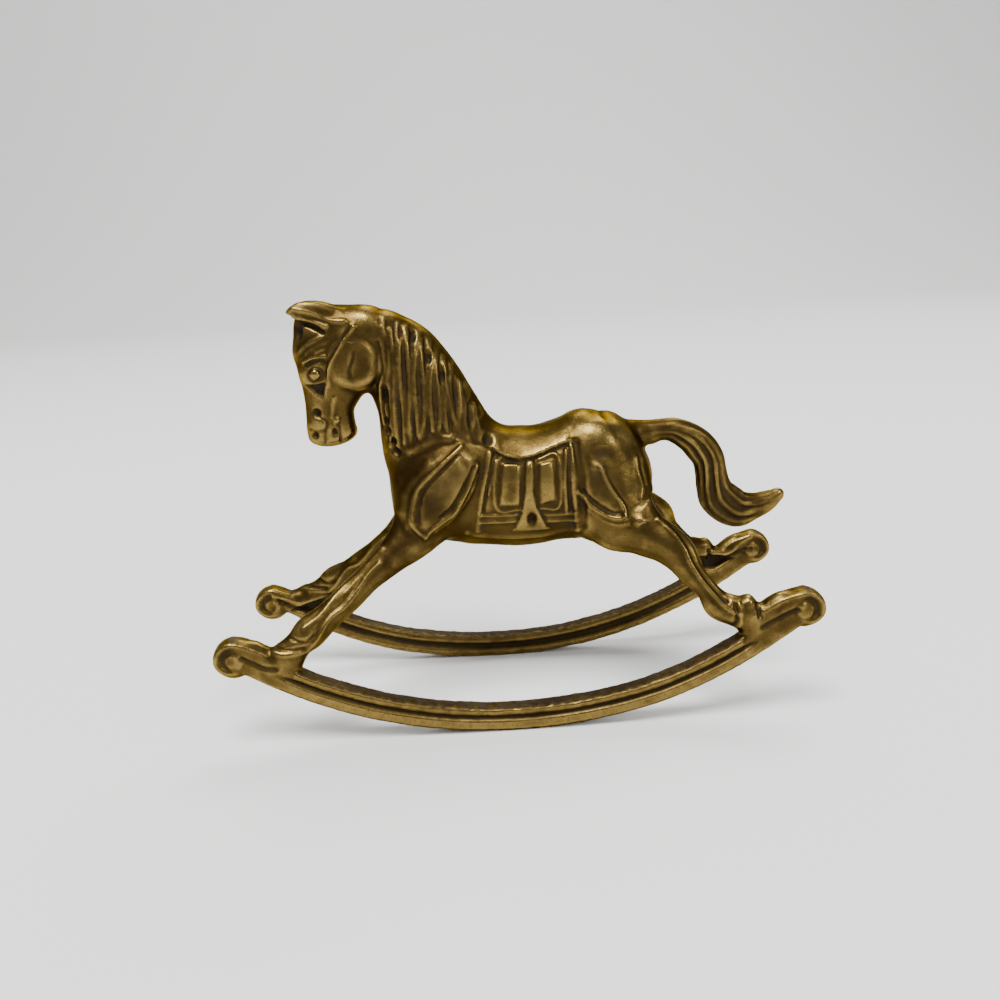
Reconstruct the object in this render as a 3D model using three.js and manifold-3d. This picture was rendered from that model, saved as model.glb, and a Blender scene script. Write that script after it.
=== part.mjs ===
// A cast brass rocking horse figurine, in millimetres, +Z up, with the horse facing -X.
// Horse, saddle and both rockers are one casting. Its origin lies on the table, under the
// middle of its outer box, and it leans as it does when it has stopped rocking.
import * as THREE from 'three';
import { mergeVertices } from 'three/addons/utils/BufferGeometryUtils.js';
import Module from 'manifold-3d';

const wasm = await Module();
wasm.setup();

// The rockers
const rockerRadius = 102.3; // of the arc that touches the table
const railDepth = 4.8;
const railWidth = 5;
const railBevel = 0.7;
const railGroove = 0.45; // depth of the line along each side
const railSpacing = 42; // between the middles of the two rails
const frontReach = 31.4; // degrees along the arc from its lowest point to the scroll
const backReach = 40.6;
const railSlip = 0.2; // degrees that the near rail sits forward and the far one back
const scrollDiameter = 8.4;
const scrollWidth = 5;
const scrollRim = 1.1;
const scrollRecess = 0.7;
const scrollSag = 1.1; // from the middle of the rail out to the scroll's centre
const facetAngle = 3.4; // degrees between two edges across the underside

// The horse
const figureHeight = 88; // from the table to the ear, before the horse leans back
const foreHoofAngle = -26.5; // degrees along the rail
const hindHoofAngle = 34.1;
const maneLocks = 7; // on each side
const restLean = 2.75; // degrees that its weight tips it back

// Raised work on its flanks
const blanketRise = 0.5;
const borderRise = 1.1;
const panelRise = 1.2;
const strapRise = 1.8;
const cordRadius = 0.55;
const lockRadius = 1.25;

// Shares of the figure's height, in hundredths
const share = figureHeight / 100;
const footY = railSpacing / 2;
const railMiddle = rockerRadius - railDepth / 2;
const railTop = rockerRadius - railDepth;
const radians = THREE.MathUtils.degToRad;

// Stations: x, z, half depth seen from the side, half width, y
const barrel = [
  [-21.2, 51.4, 9.4, 7.3, 0], [-14.8, 52.2, 11.8, 9.3, 0], [-7.3, 53.6, 13.9, 10.2, 0],
  [-0.5, 53.9, 14.7, 10.9, 0], [8.6, 53.6, 14.8, 11.4, 0], [16.5, 54.8, 14.7, 11.6, 0],
  [22.2, 56.5, 15.5, 11.6, 0], [27.9, 58.4, 15.5, 11.1, 0], [33.2, 60.8, 13.2, 9.5, 0],
  [35.9, 62, 9.3, 7.2, 0],
];
const neck = [
  [-10.7, 59.3, 13.4, 9.8, 0], [-13.1, 66.8, 13.4, 8.9, 0], [-16.3, 75.9, 11.7, 8, 0],
  [-19.8, 82.4, 10.6, 7.3, 0], [-23, 86.5, 9.8, 6.7, 0], [-26.2, 90.3, 8.4, 5.9, 0],
  [-29.5, 92.2, 6.4, 5.5, 0],
];
const head = [
  [-33.5, 92.4, 6.4, 5.5, 0], [-36, 87.1, 11.1, 6, 0], [-37.2, 82, 9.5, 5.8, 0],
  [-38.2, 77.4, 7.2, 5.1, 0], [-38.9, 73.5, 5.8, 4.5, 0], [-38.9, 69.5, 5.7, 4.4, 0],
  [-38.6, 67.2, 5.8, 4.2, 0],
];
const poll = [
  [-26.6, 91.9, 5.6, 5.2, 0], [-34.6, 92.6, 6, 5, 0], [-43.2, 90.9, 6.4, 4.3, 0],
];
const ear = [
  [-35.7, 95.6, 2, 1.4, 3], [-40.3, 96.4, 2.7, 1.5, 3.4], [-44.2, 97, 2.3, 1.4, 3.8],
  [-46.6, 96.9, 1.2, 0.9, 3.9], [-47.7, 96.6, 0.6, 0.5, 3.9],
];
const tail = [
  [35.9, 66.6, 3.6, 3, 0], [39.8, 66.9, 3.3, 2.7, 0], [42.7, 67.4, 3.1, 2.6, 0],
  [46.1, 67.3, 3.5, 2.7, 0], [50.3, 65.6, 4, 2.8, 0], [53, 63.4, 4.2, 3, 0],
  [55.1, 60.4, 4.1, 3, 0], [56.1, 56.8, 4, 3.1, 0], [56.9, 53.2, 4.4, 3.2, 0],
  [58.2, 49.5, 5.9, 3.2, 0], [62.6, 47.3, 5.1, 3, 0], [66.8, 47.6, 4, 2.5, 0],
  [70.3, 48.8, 3.2, 2.2, 0], [73.2, 50.2, 1.8, 1.4, 0],
];

// The legs' last value is a share of the way out from the middle to the rail
const foreLeg = [
  [-6.8, 63.8, 5.1, 3.9, 0.23], [-11.1, 57, 8.2, 5.5, 0.27], [-14.6, 49.7, 9, 5.7, 0.29],
  [-18.8, 44.2, 6.3, 5, 0.38], [-24, 39.2, 4.3, 4.1, 0.49], [-29, 35.1, 3.3, 3.5, 0.59],
  [-34, 31, 3.2, 3.3, 0.71], [-37.9, 27.7, 2.8, 3, 0.82], [-42.3, 23.6, 3.4, 3.3, 0.92],
  [-45, 21.2, 3, 2.8, 0.97], [-48, 18.6, 4.2, 3, 1], [-49.5, 16.5, 4.7, 2.8, 1],
];
const hindLeg = [
  [27.9, 62.7, 8, 4.5, 0.22], [29.7, 55.9, 9.1, 5.7, 0.27], [31.7, 48.6, 9.8, 5.7, 0.36],
  [37.3, 44.1, 6.4, 5.2, 0.49], [41.5, 42.4, 4.9, 4.5, 0.59], [44.8, 40.2, 4, 4, 0.67],
  [47.3, 36.3, 2.8, 3.1, 0.76], [50.9, 32.9, 2.4, 2.7, 0.86], [53.4, 29.5, 3.7, 3.1, 0.92],
  [56.6, 27.8, 4.2, 3.1, 0.98], [60.2, 27, 4.3, 3, 1], [62.5, 25.3, 4.2, 2.8, 1],
];

function scaled(rows) {
  return rows.map((row) => row.map((value) => value * share));
}

function railPoint(degrees, radius) {
  const angle = radians(degrees);
  return [radius * Math.sin(angle), rockerRadius - radius * Math.cos(angle)];
}

// Rows of one leg, carried along with the spot on the rail where its hoof stands
function legRows(rows, hoofAngle, side, shift = [0, 0]) {
  const out = scaled(rows);
  const last = out.length - 1;
  const foot = railPoint(hoofAngle, railTop);
  const moved = [foot[0] - out[last][0], foot[1] - out[last][1]];
  return out.map((row, i) => {
    const pull = (i / last) ** 2;
    const bow = Math.sin(Math.PI * i / last);
    return [
      row[0] + moved[0] * pull + shift[0] * bow,
      row[1] + moved[1] * pull + shift[1] * bow,
      row[2],
      row[3],
      rows[i][4] * footY * side,
    ];
  });
}

function catmullRom(t, before, from, to, after) {
  const slopeFrom = (to - before) / 2;
  const slopeTo = (after - from) / 2;
  const bend = 2 * from - 2 * to + slopeFrom + slopeTo;
  const sway = -3 * from + 3 * to - 2 * slopeFrom - slopeTo;
  return ((bend * t + sway) * t + slopeFrom) * t + from;
}

function smooth(rows, steps) {
  const last = rows.length - 1;
  const out = [];
  for (let i = 0; i < last; i++) {
    const before = rows[Math.max(i - 1, 0)];
    const after = rows[Math.min(i + 2, last)];
    for (let j = 0; j < steps; j++) {
      const t = j / steps;
      out.push(rows[i].map((from, k) => catmullRom(t, before[k], from, rows[i + 1][k], after[k])));
    }
  }
  out.push(rows[last]);
  return out;
}

// Rings of points joined into a closed surface, with a middle point at each end
function skin(rings, looped = false) {
  const sides = rings[0].length;
  const points = rings.flat();
  const faces = [];
  const spans = looped ? rings.length : rings.length - 1;
  for (let i = 0; i < spans; i++) {
    const here = i * sides;
    const next = ((i + 1) % rings.length) * sides;
    for (let j = 0; j < sides; j++) {
      const k = (j + 1) % sides;
      faces.push(here + j, here + k, next + k, here + j, next + k, next + j);
    }
  }
  if (!looped) {
    for (const [ring, start] of [[rings[0], 0], [rings.at(-1), spans * sides]]) {
      const middle = new THREE.Vector3();
      ring.forEach((point) => middle.addScaledVector(point, 1 / sides));
      points.push(middle);
      for (let j = 0; j < sides; j++) {
        const k = (j + 1) % sides;
        const edge = start ? [start + j, start + k] : [k, j];
        faces.push(...edge, points.length - 1);
      }
    }
  }
  const geometry = new THREE.BufferGeometry().setFromPoints(points);
  geometry.setIndex(faces);
  return solid(geometry);
}

function solid(geometry) {
  geometry.deleteAttribute('normal');
  geometry.deleteAttribute('uv');
  const merged = mergeVertices(geometry, 1e-4);
  const vertProperties = merged.attributes.position.array;
  const triVerts = Uint32Array.from(merged.index.array);
  const corner = (n) => new THREE.Vector3().fromArray(vertProperties, triVerts[n] * 3);
  let volume = 0;
  for (let i = 0; i < triVerts.length; i += 3) {
    volume += corner(i).dot(corner(i + 1).cross(corner(i + 2)));
  }
  if (volume < 0) triVerts.reverse();
  return new wasm.Manifold(new wasm.Mesh({ numProp: 3, vertProperties, triVerts }));
}

function superEllipse(angle, power) {
  const bulge = (value) => Math.sign(value) * Math.abs(value) ** (2 / power);
  return [bulge(Math.cos(angle)), bulge(Math.sin(angle))];
}

// A limb or body through its stations, upright to its own line, with rounded ends
function loft(rows, { sides = 10, power = 2, ends = 0.6, grow = 0, ribs = 0 } = {}) {
  const last = rows.length - 1;
  const ribCount = 4;
  const reach = (i) => ends * (rows[i][2] + grow);
  const laps = [0.62, 0.94]; // how far round its rounded end each further ring sits
  const stations = [
    ...laps.map((lap) => [0, Math.sqrt(1 - lap * lap), -lap * reach(0)]).reverse(),
    ...rows.map((row, i) => [i, 1, 0]),
    ...laps.map((lap) => [last, Math.sqrt(1 - lap * lap), lap * reach(last)]),
  ];
  const rings = stations.map(([i, size, push]) => {
    const [x, z, depth, width, y] = rows[i];
    const from = rows[Math.max(i - 1, 0)];
    const to = rows[Math.min(i + 1, last)];
    const along = new THREE.Vector2(to[0] - from[0], to[1] - from[1]).normalize();
    const ring = [];
    for (let j = 0; j < sides; j++) {
      const angle = 2 * Math.PI * (j + 0.5) / sides;
      const [across, out] = superEllipse(angle, power);
      const rib = 1 - ribs * (i / last) * (0.5 + 0.5 * Math.cos(ribCount * angle));
      const rise = (depth + grow) * across * size * rib;
      ring.push(new THREE.Vector3(
        x + along.x * push - along.y * rise,
        y + (width + grow) * out * size * rib,
        z + along.y * push + along.x * rise,
      ));
    }
    return ring;
  });
  return skin(rings);
}

// A thin cord or lock of hair through points given as [Vector3, radius]
function strand(stations, sides = 5, looped = false) {
  const count = stations.length;
  const rings = stations.map(([middle, radius], i) => {
    const from = stations[looped ? (i + count - 1) % count : Math.max(i - 1, 0)][0];
    const to = stations[looped ? (i + 1) % count : Math.min(i + 1, count - 1)][0];
    const along = new THREE.Vector3().subVectors(to, from).normalize();
    const side = new THREE.Vector3(0, 1, 0).addScaledVector(along, -along.y).normalize();
    const rise = new THREE.Vector3().crossVectors(along, side);
    const ring = [];
    for (let j = 0; j < sides; j++) {
      const angle = 2 * Math.PI * j / sides;
      ring.push(middle.clone()
        .addScaledVector(side, radius * Math.cos(angle))
        .addScaledVector(rise, radius * Math.sin(angle)));
    }
    return ring;
  });
  return skin(rings, looped);
}

// Half width of a loft where a line along Y at x, z meets it, or 0 beside it
function halfWidthAt(rows, x, z, power = 2) {
  let nearest = Infinity;
  let width = 0;
  const curve = smooth(rows, 6);
  for (let i = 0; i < curve.length - 1; i++) {
    const [ax, az, aDepth, aWidth, aY] = curve[i];
    const [bx, bz, bDepth, bWidth, bY] = curve[i + 1];
    const span = (bx - ax) ** 2 + (bz - az) ** 2;
    const t = THREE.MathUtils.clamp(((x - ax) * (bx - ax) + (z - az) * (bz - az)) / span, 0, 1);
    const off = Math.hypot(x - ax - t * (bx - ax), z - az - t * (bz - az));
    if (off < nearest) {
      nearest = off;
      const inside = 1 - (off / THREE.MathUtils.lerp(aDepth, bDepth, t)) ** power;
      const y = Math.abs(THREE.MathUtils.lerp(aY, bY, t));
      width = inside > 0 ? y + THREE.MathUtils.lerp(aWidth, bWidth, t) * inside ** (1 / power) : 0;
    }
  }
  return width;
}

const bodyRows = { barrel: scaled(barrel), neck: scaled(neck), head: scaled(head) };
const legs = { fore: legRows(foreLeg, foreHoofAngle, -1), hind: legRows(hindLeg, hindHoofAngle, -1) };
const flankRows = [bodyRows.barrel, bodyRows.neck, bodyRows.head, legs.fore, legs.hind];

// A point on the horse's flank, from hundredths of its height
function onFlank(x, z, side, sink = 0) {
  const out = Math.max(...flankRows.map((rows) => halfWidthAt(rows, x * share, z * share)));
  return new THREE.Vector3(x * share, side * (out - sink), z * share);
}

function outline(points, rise) {
  const shape = new THREE.Shape(points.map(([x, z]) => new THREE.Vector2(x * share, z * share)));
  const reach = figureHeight / 2;
  const block = new THREE.ExtrudeGeometry(shape, { depth: 2 * reach, bevelEnabled: false });
  block.rotateX(Math.PI / 2).translate(0, reach, 0);
  return loft(bodyRows.barrel, { sides: 18, power: 2.2, ends: 0.35, grow: rise })
    .intersect(solid(block));
}

function horseBody() {
  return [
    loft(bodyRows.barrel, { sides: 18, power: 2.2, ends: 0.35 }),
    loft(bodyRows.neck, { sides: 16 }),
    loft(bodyRows.head, { sides: 14, power: 2.5, ends: 0.48 }),
    loft(scaled(poll)),
    loft(scaled(tail), { sides: 16, ribs: 0.22 }),
  ];
}

function cheekAndEye(side) {
  const cheekRadius = 6.9 * share;
  const cheekOut = 6.7 * share;
  const cheek = new THREE.SphereGeometry(1, 10, 6);
  cheek.scale(cheekRadius, 2.2 * share, cheekRadius);
  cheek.translate(-32.6 * share, side * (cheekOut - 2.2 * share), 85.6 * share);
  const brow = new THREE.SphereGeometry(1, 8, 4);
  brow.scale(3.4 * share, 2.7 * share, 3.9 * share);
  brow.translate(-42.1 * share, side * 2.9 * share, 82.3 * share);
  const eye = new THREE.SphereGeometry(1.45 * share, 8, 4);
  eye.translate(-42.4 * share, side * 4.9 * share, 81.6 * share);
  return [solid(cheek), solid(brow), solid(eye)];
}

function nostril(side) {
  const hollow = new THREE.SphereGeometry(1, 8, 4);
  hollow.scale(0.9 * share, 1.1 * share, 1.3 * share);
  const at = onFlank(-42.7, 72.7, side, 0.2);
  hollow.translate(at.x, at.y, at.z);
  return solid(hollow);
}

function mane(side) {
  const locks = [];
  const crest = [[-26.5, 95], [-21, 93.6], [-17.5, 91.9], [-14, 88.7], [-10.7, 85.1], [-7.3, 80.1], [-3, 74]];
  const hem = [[-22.5, 64.5], [-17, 66.4], [-14, 67.3], [-10.7, 66.8], [-7.5, 65.8], [-4.5, 65.5], [-1.6, 65.8]];
  const crestLine = smooth(crest, 6);
  const hemLine = smooth(hem, 6);
  for (let i = 0; i < maneLocks; i++) {
    const t = (i + 0.5) / maneLocks;
    const top = crestLine[Math.round(t * (crestLine.length - 1))];
    const tip = hemLine[Math.round(t * (hemLine.length - 1))];
    const stations = [0.04, 0.36, 0.7, 1].map((down) => {
      const sway = 0.9 * Math.sin(down * Math.PI * 1.6 + i);
      const x = THREE.MathUtils.lerp(top[0], tip[0], down) + sway;
      const z = THREE.MathUtils.lerp(top[1], tip[1], down);
      const radius = lockRadius * (0.7 + 0.5 * Math.sin(Math.PI * (0.15 + 0.75 * down)));
      return [onFlank(x, z, side, 0.35 * lockRadius), radius];
    });
    locks.push(strand(stations));
  }
  return locks;
}

function raisedLine(points, side, looped = false) {
  const closed = looped ? [...points, points[0]] : points;
  const line = looped ? smooth(closed, 2) : points;
  if (looped) line.pop();
  return strand(line.map(([x, z]) => [onFlank(x, z, side, 0.2 * cordRadius), cordRadius]), 4, looped);
}

function shoulderAndThigh(side) {
  const leaf = [
    [-6.4, 66.8], [-11.9, 60.3], [-17.4, 53.1], [-18.8, 47], [-15.7, 43.9], [-9.7, 49.4],
    [-4.8, 55.4], [-2.9, 61.4],
  ];
  const thigh = [[22.8, 52.4], [27.9, 46.8], [33.6, 45.1], [34.2, 47.9], [29, 58.1]];
  const rein = [[-36, 91.5], [-38.5, 87], [-39.7, 85.2], [-39.9, 79], [-39.6, 74]];
  const seat = [[-0.5, 64.8], [5, 62.2], [10, 62.1], [15.5, 63.7], [21, 65.9]];
  return [raisedLine(leaf, side, true), ...[thigh, rein, seat].map((line) => raisedLine(line, side))];
}

function saddle() {
  const border = [[-2.8, 42.7], [21.8, 42.7], [21.8, 46.2], [-2.8, 46.2]];
  const blanket = [[-2.6, 43], [21.5, 43], [20.3, 65.3], [15.5, 63.4], [10, 61.8], [5, 61.8], [0.3, 64.5]];
  const frontPanel = [[1.8, 48], [7.4, 48], [7.4, 59.8], [1.8, 59.8]];
  const backPanel = [[12, 48.4], [18.2, 48.4], [18.2, 60.9], [12, 60.9]];
  const stirrup = [[6.3, 42.9], [15.4, 42.9], [11.4, 47.5], [11.4, 60.5], [9, 60.5], [9, 47.5]];
  return [
    outline(blanket, blanketRise),
    outline(border, borderRise),
    outline(frontPanel, panelRise),
    outline(backPanel, panelRise),
    outline(stirrup, strapRise),
  ];
}

// The rail's section as [up from the underside, out from the middle]
function railSection(side) {
  const half = railWidth / 2;
  const line = 0.46 * railDepth;
  const lip = 0.45;
  const outer = [
    [0, half - railBevel], [railBevel, half], [line - lip, half], [line, half - railGroove],
    [line + lip, half], [railDepth - railBevel, half], [railDepth, half - railBevel],
  ];
  const inner = [
    [railDepth, railBevel - half], [railDepth - railBevel, -half], [railBevel, -half],
    [0, railBevel - half],
  ];
  return [...outer, ...inner].map(([up, out]) => [up, side * out]);
}

function rail(side) {
  const section = railSection(side);
  const front = -(frontReach - side * railSlip);
  const back = backReach + side * railSlip;
  const lowest = restLean - facetAngle / 2;
  const angles = [];
  for (let angle = lowest; angle > front; angle -= facetAngle) angles.unshift(angle);
  angles.unshift(front);
  for (let angle = lowest + facetAngle; angle < back; angle += facetAngle) angles.push(angle);
  angles.push(back);
  const edgeRadius = rockerRadius / Math.cos(radians(facetAngle / 2));
  const rings = angles.map((degrees) => section.map(([up, out]) => {
    const [x, z] = railPoint(degrees, edgeRadius - up);
    return new THREE.Vector3(x, side * footY + out, z);
  }));
  return [skin(rings), ...scroll(front, side, 0.9), ...scroll(back, side, 0.3)];
}

function scroll(degrees, side, sag) {
  const radius = scrollDiameter / 2;
  const half = scrollWidth / 2;
  const hub = 0.3 * radius;
  const face = [
    [0, half], [hub, half], [hub + 0.3, half - scrollRecess],
    [radius - scrollRim - 0.3, half - scrollRecess], [radius - scrollRim, half],
    [radius - 0.5, half], [radius, half - 0.5],
  ];
  const back = [[radius, 0.5 - half], [radius - 0.5, -half], [0, -half]];
  const profile = [...face, ...back].map(([r, out]) => new THREE.Vector2(r, side * out));
  const disc = new THREE.LatheGeometry(profile, 12);
  const [x, z] = railPoint(degrees, railMiddle + sag * scrollSag);
  disc.translate(x, side * footY, z);
  const towards = -Math.sign(degrees);
  const throat = [[0, 1.4], [2.5, 1.3], [5, 0.7]].map(([step, swell]) => {
    const [tx, tz] = railPoint(degrees + towards * step, railMiddle - 0.9);
    return [tx, tz, railDepth / 2 + swell, railWidth / 2 - 0.1, side * footY];
  });
  return [solid(disc), loft(throat, { sides: 8, ends: 0.4 })];
}

function casting() {
  const parts = [...horseBody(), ...saddle()];
  const hollows = [];
  for (const side of [-1, 1]) {
    const foreShift = side < 0 ? [0, 0] : [0.7, -0.9];
    const hindShift = side < 0 ? [0, 0] : [1.3, 1.2];
    parts.push(loft(legRows(foreLeg, foreHoofAngle, side, foreShift)));
    parts.push(loft(legRows(hindLeg, hindHoofAngle, side, hindShift)));
    const earRows = scaled(ear).map(([x, z, depth, width, y]) => [x, z, depth, width, y * side]);
    parts.push(loft(earRows, { sides: 8 }));
    parts.push(...cheekAndEye(side), ...mane(side), ...shoulderAndThigh(side), ...rail(side));
    hollows.push(nostril(side));
  }
  let body = parts[0];
  for (const piece of parts.slice(1)) body = body.add(piece);
  for (const hollow of hollows) body = body.subtract(hollow);
  return filled(body);
}

// Air shut in under the locks or the saddle is brass too
function filled(body) {
  const shells = body.decompose().filter((shell) => shell.volume() > 0);
  return shells.reduce((whole, shell) => whole.add(shell));
}

function meshOf(manifold) {
  const { vertProperties, triVerts } = manifold.getMesh();
  const geometry = new THREE.BufferGeometry();
  geometry.setAttribute('position', new THREE.BufferAttribute(vertProperties, 3));
  geometry.setIndex(new THREE.BufferAttribute(triVerts, 1));
  return geometry;
}

const brass = new THREE.MeshStandardMaterial({ color: 0xa8833a, roughness: 0.35, metalness: 1 });
const horse = new THREE.Mesh(meshOf(casting()), brass);
horse.name = 'rocking_horse';
horse.position.z = -rockerRadius;

// Turned about the arc's centre, it touches the table under its centre of gravity
const leaning = new THREE.Group();
leaning.add(horse);
leaning.rotation.y = radians(restLean);

const group = new THREE.Group();
group.add(leaning);
group.updateMatrixWorld(true);
const box = new THREE.Box3().setFromObject(horse, true);
leaning.position.x = -(box.min.x + box.max.x) / 2;
leaning.position.y = -(box.min.y + box.max.y) / 2;
leaning.position.z = -box.min.z;

export default group;
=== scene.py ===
import math
from itertools import product
import bpy
import numpy as np
from mathutils import Matrix, Vector
from mathutils.kdtree import KDTree


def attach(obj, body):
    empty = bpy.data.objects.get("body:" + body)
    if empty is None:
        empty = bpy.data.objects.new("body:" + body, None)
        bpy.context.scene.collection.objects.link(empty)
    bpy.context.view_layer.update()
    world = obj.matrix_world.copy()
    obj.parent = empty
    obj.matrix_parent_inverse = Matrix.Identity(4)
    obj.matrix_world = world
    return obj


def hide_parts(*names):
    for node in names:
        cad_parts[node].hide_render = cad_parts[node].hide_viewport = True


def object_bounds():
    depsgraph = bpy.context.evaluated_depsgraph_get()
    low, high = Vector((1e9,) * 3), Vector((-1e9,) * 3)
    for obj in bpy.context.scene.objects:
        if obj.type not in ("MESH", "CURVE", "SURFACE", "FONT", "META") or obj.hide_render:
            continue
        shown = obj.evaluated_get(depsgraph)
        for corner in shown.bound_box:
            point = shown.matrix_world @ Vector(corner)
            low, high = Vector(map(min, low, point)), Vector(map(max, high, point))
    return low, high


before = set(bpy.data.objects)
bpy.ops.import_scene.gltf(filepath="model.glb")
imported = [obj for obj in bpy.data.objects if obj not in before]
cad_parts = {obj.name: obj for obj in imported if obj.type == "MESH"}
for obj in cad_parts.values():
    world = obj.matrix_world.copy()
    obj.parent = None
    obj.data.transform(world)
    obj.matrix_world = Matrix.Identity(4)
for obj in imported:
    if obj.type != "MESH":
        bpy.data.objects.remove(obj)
cadLow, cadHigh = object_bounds()

# The horse is drawn in millimetres, facing -X, with the near side at Y below 0.
# Its weight then tips the drawing back about the centre of the rockers' arc.
mm = 0.001
stance = {
    "lean": 2.75,           # degrees
    "arcX": 0.44,           # centre of the rockers' arc in the drawing
    "arcZ": 103.16,
    "arcRadius": 102.3,     # to the underside of the rails
}
build = {
    "voxel": 0.4,           # of the modelled field
    "margin": 5.0,          # distances are kept this far round each shape
    "front": -60,           # the field's ends in the drawing
    "back": 72,
    "side": 26,
    "bottom": -2.0,
    "top": 91,
    "strandSides": 10,
    "remesh": 0.3,          # of the joined skin
    "triangles": 192000,
    "soften": 2,            # smoothing passes after the remesh
    "hairDepth": 0.45,      # of the channels between strands
    "hairGrime": 0.4,
}

rocker = {
    "railRadius": 99.8,     # to the middle of the rail
    "railHalfDepth": 2.62,
    "railHalfWidth": 2.1,
    "railEdge": 0.6,        # rounding
    "railBlend": 1.0,
    "spacing": 42.0,        # between the two rails' middles
    "voluteRadius": 4.15,
    "voluteHalfWidth": 1.75,
    "voluteEdge": 1.0,
    "voluteBlend": 0.6,
    "throatBlend": 0.8,
    "throatPower": 2.4,
    "heel": {"near": (53.0, 27.7), "far": (54.2, 28.4)},    # the knob behind each hind hoof
    "heelRadii": (1.5, 2.1, 1.6),
    "beadRadius": 0.82,
    "beadSpan": (-24.5, 31.5),      # degrees
    "beadDrop": 0.8,        # below the rail's upper edge
    "beadSink": 0.35,       # into its face
}
# Each rail's two volutes: degrees along the arc, distance of the middle from the arc's centre
volutes = {
    "near": {"front": (-31.7, 100.9), "back": (40.1, 100.2)},
    "far": {"front": (-30.7, 102.6), "back": (41.0, 100.0)},
}
railEnds = {"near": (-31.7, 40.1), "far": (-28.8, 41.0)}   # in degrees, front and back
# Swells from each hoof up to its volute: x, z, half depth
throats = {
    "near": [[(-45.6, 17, 2.2), (-48.6, 18.5, 2.3), (-51.4, 19.1, 2.1)],
             [(56.1, 25, 2), (59.7, 27.3, 2.3), (63.2, 28, 2.2)]],
    "far": [[(-44.4, 14.1, 2.1), (-47, 15.6, 2.2), (-49.8, 16.2, 2)],
            [(58.1, 26, 2), (61.6, 28.5, 2.3), (65, 29.4, 2.1)]],
}
# Where a rail bows outwards a little: middle in degrees, half length in degrees, amount
bows = {"near": (21, 9, 0.42), "far": (-15, 11, 0.65)}
footY = -rocker["spacing"] / 2

# Stations: x, z, half depth in the side view, half width, y
barrel = {"blend": 1.0, "power": 2.2, "ends": 0.35, "rows": [
    (-17.8, 47, 8.6, 6.4, 0), (-12.6, 46.9, 10.4, 8.2, 0), (-6, 47.9, 12.6, 9, 0), (0, 48.3, 13.1, 9.6, 0),
    (8, 48.2, 13.3, 10, 0), (13.5, 49, 13, 10.2, 0), (20.5, 50.4, 13.9, 10.2, 0), (25, 52.2, 13.9, 9.8, 0),
    (29.2, 54, 11.4, 8.4, 0), (31.5, 55.4, 8.2, 6.3, 0),
]}
neck = {"blend": 4.0, "rows": [
    (-9, 53, 12.6, 8.6, 0), (-11.1, 59.6, 12.1, 7.8, 0), (-13.9, 67.6, 10.3, 7, 0), (-17, 73.4, 9.3, 6.4, 0),
    (-19.8, 77, 8.6, 5.9, 0), (-22.8, 80, 7, 5.2, 0), (-25.5, 81.8, 5.2, 4.8, 0),
]}
head = {"blend": 2.0, "power": 2.5, "ends": 0.48, "rows": [
    (-29, 82.2, 5.6, 4.8, 0), (-31.2, 77.5, 9.8, 5.3, 0), (-32.3, 73, 8.4, 5.1, 0), (-33.2, 69, 6.3, 4.5, 0),
    (-33.7, 65.5, 5.2, 4, 0), (-33.6, 62, 5.2, 3.9, 0), (-33.3, 60, 5.3, 3.7, 0),
]}
poll = {"blend": 2.5, "rows": [(-23, 81.5, 4.4, 4.6, 0), (-30, 82.8, 4.6, 4.4, 0), (-36.4, 83, 4.4, 3.8, 0)]}
ear = {"blend": 0.8, "rows": [
    (-31, 85, 1.8, 1.2, -2.6), (-35, 85.7, 2.4, 1.3, -3), (-38.5, 86.2, 2, 1.2, -3.3),
    (-40.6, 86.1, 1.1, 0.8, -3.4), (-41.5, 85.9, 0.5, 0.4, -3.4),
]}
foreLeg = {"blend": 3.0, "farShift": (0.7, -1.2), "rows": [
    (-5.5, 57, 4.5, 3.4, -4.8), (-9.3, 51, 7.2, 4.8, -5.6), (-12.8, 44.8, 7.7, 5, -6.2),
    (-16, 39.7, 5.5, 4.4, -8), (-20.6, 35.3, 3.7, 3.6, -10.2), (-25.1, 31.7, 2.9, 3.1, -12.5),
    (-29.5, 28, 3, 2.9, -14.9), (-33, 25.2, 2.9, 2.6, -17.2), (-37.2, 21.9, 3.5, 2.9, -19.3),
    (-39.6, 19.7, 2.9, 2.5, -20.3), (-41.8, 17.2, 3.7, 2.6, -21), (-43.1, 15.4, 4.1, 2.5, -21),
]}
hindLeg = {"blend": 3.0, "farShift": (1.6, 1.7), "rows": [
    (25, 56, 7, 4, -4.6), (26.6, 50, 8, 5, -5.6), (28.3, 43.6, 8.6, 5, -7.6), (33.3, 39.9, 5.3, 4.6, -10.3),
    (37, 38.2, 4.3, 4, -12.3), (39.8, 36, 3.8, 3.5, -14), (42, 32.7, 2.8, 2.7, -16),
    (45, 29.6, 2.3, 2.4, -18), (47.3, 26.7, 3.1, 2.7, -19.4), (50.2, 25.7, 3.2, 2.7, -20.5),
    (52.7, 24.9, 3.6, 2.6, -21), (54.2, 23.2, 3.3, 2.5, -21),
]}
tail = {"blend": 2.0, "rows": [
    (32, 59.5, 3.2, 2.6, 0), (35.5, 59.9, 2.7, 2.3, 0), (38, 60.4, 2.4, 2.2, 0), (41, 60.3, 2.7, 2.3, 0),
    (44.7, 58.6, 3.2, 2.4, 0), (47, 56.6, 3.5, 2.5, 0), (48.8, 54, 3.4, 2.5, 0), (49.6, 50.8, 3.4, 2.6, 0),
    (50.3, 47.7, 3.8, 2.7, 0), (51.8, 44.8, 4.6, 2.7, 0), (55.5, 42.5, 4.3, 2.5, 0),
    (59.2, 42.9, 3.1, 2.1, 0),
    (62.2, 44, 2.5, 1.8, 0), (64, 45.1, 1.9, 1.4, 0), (64.7, 45.6, 1.6, 1.2, 0),
]}

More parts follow.
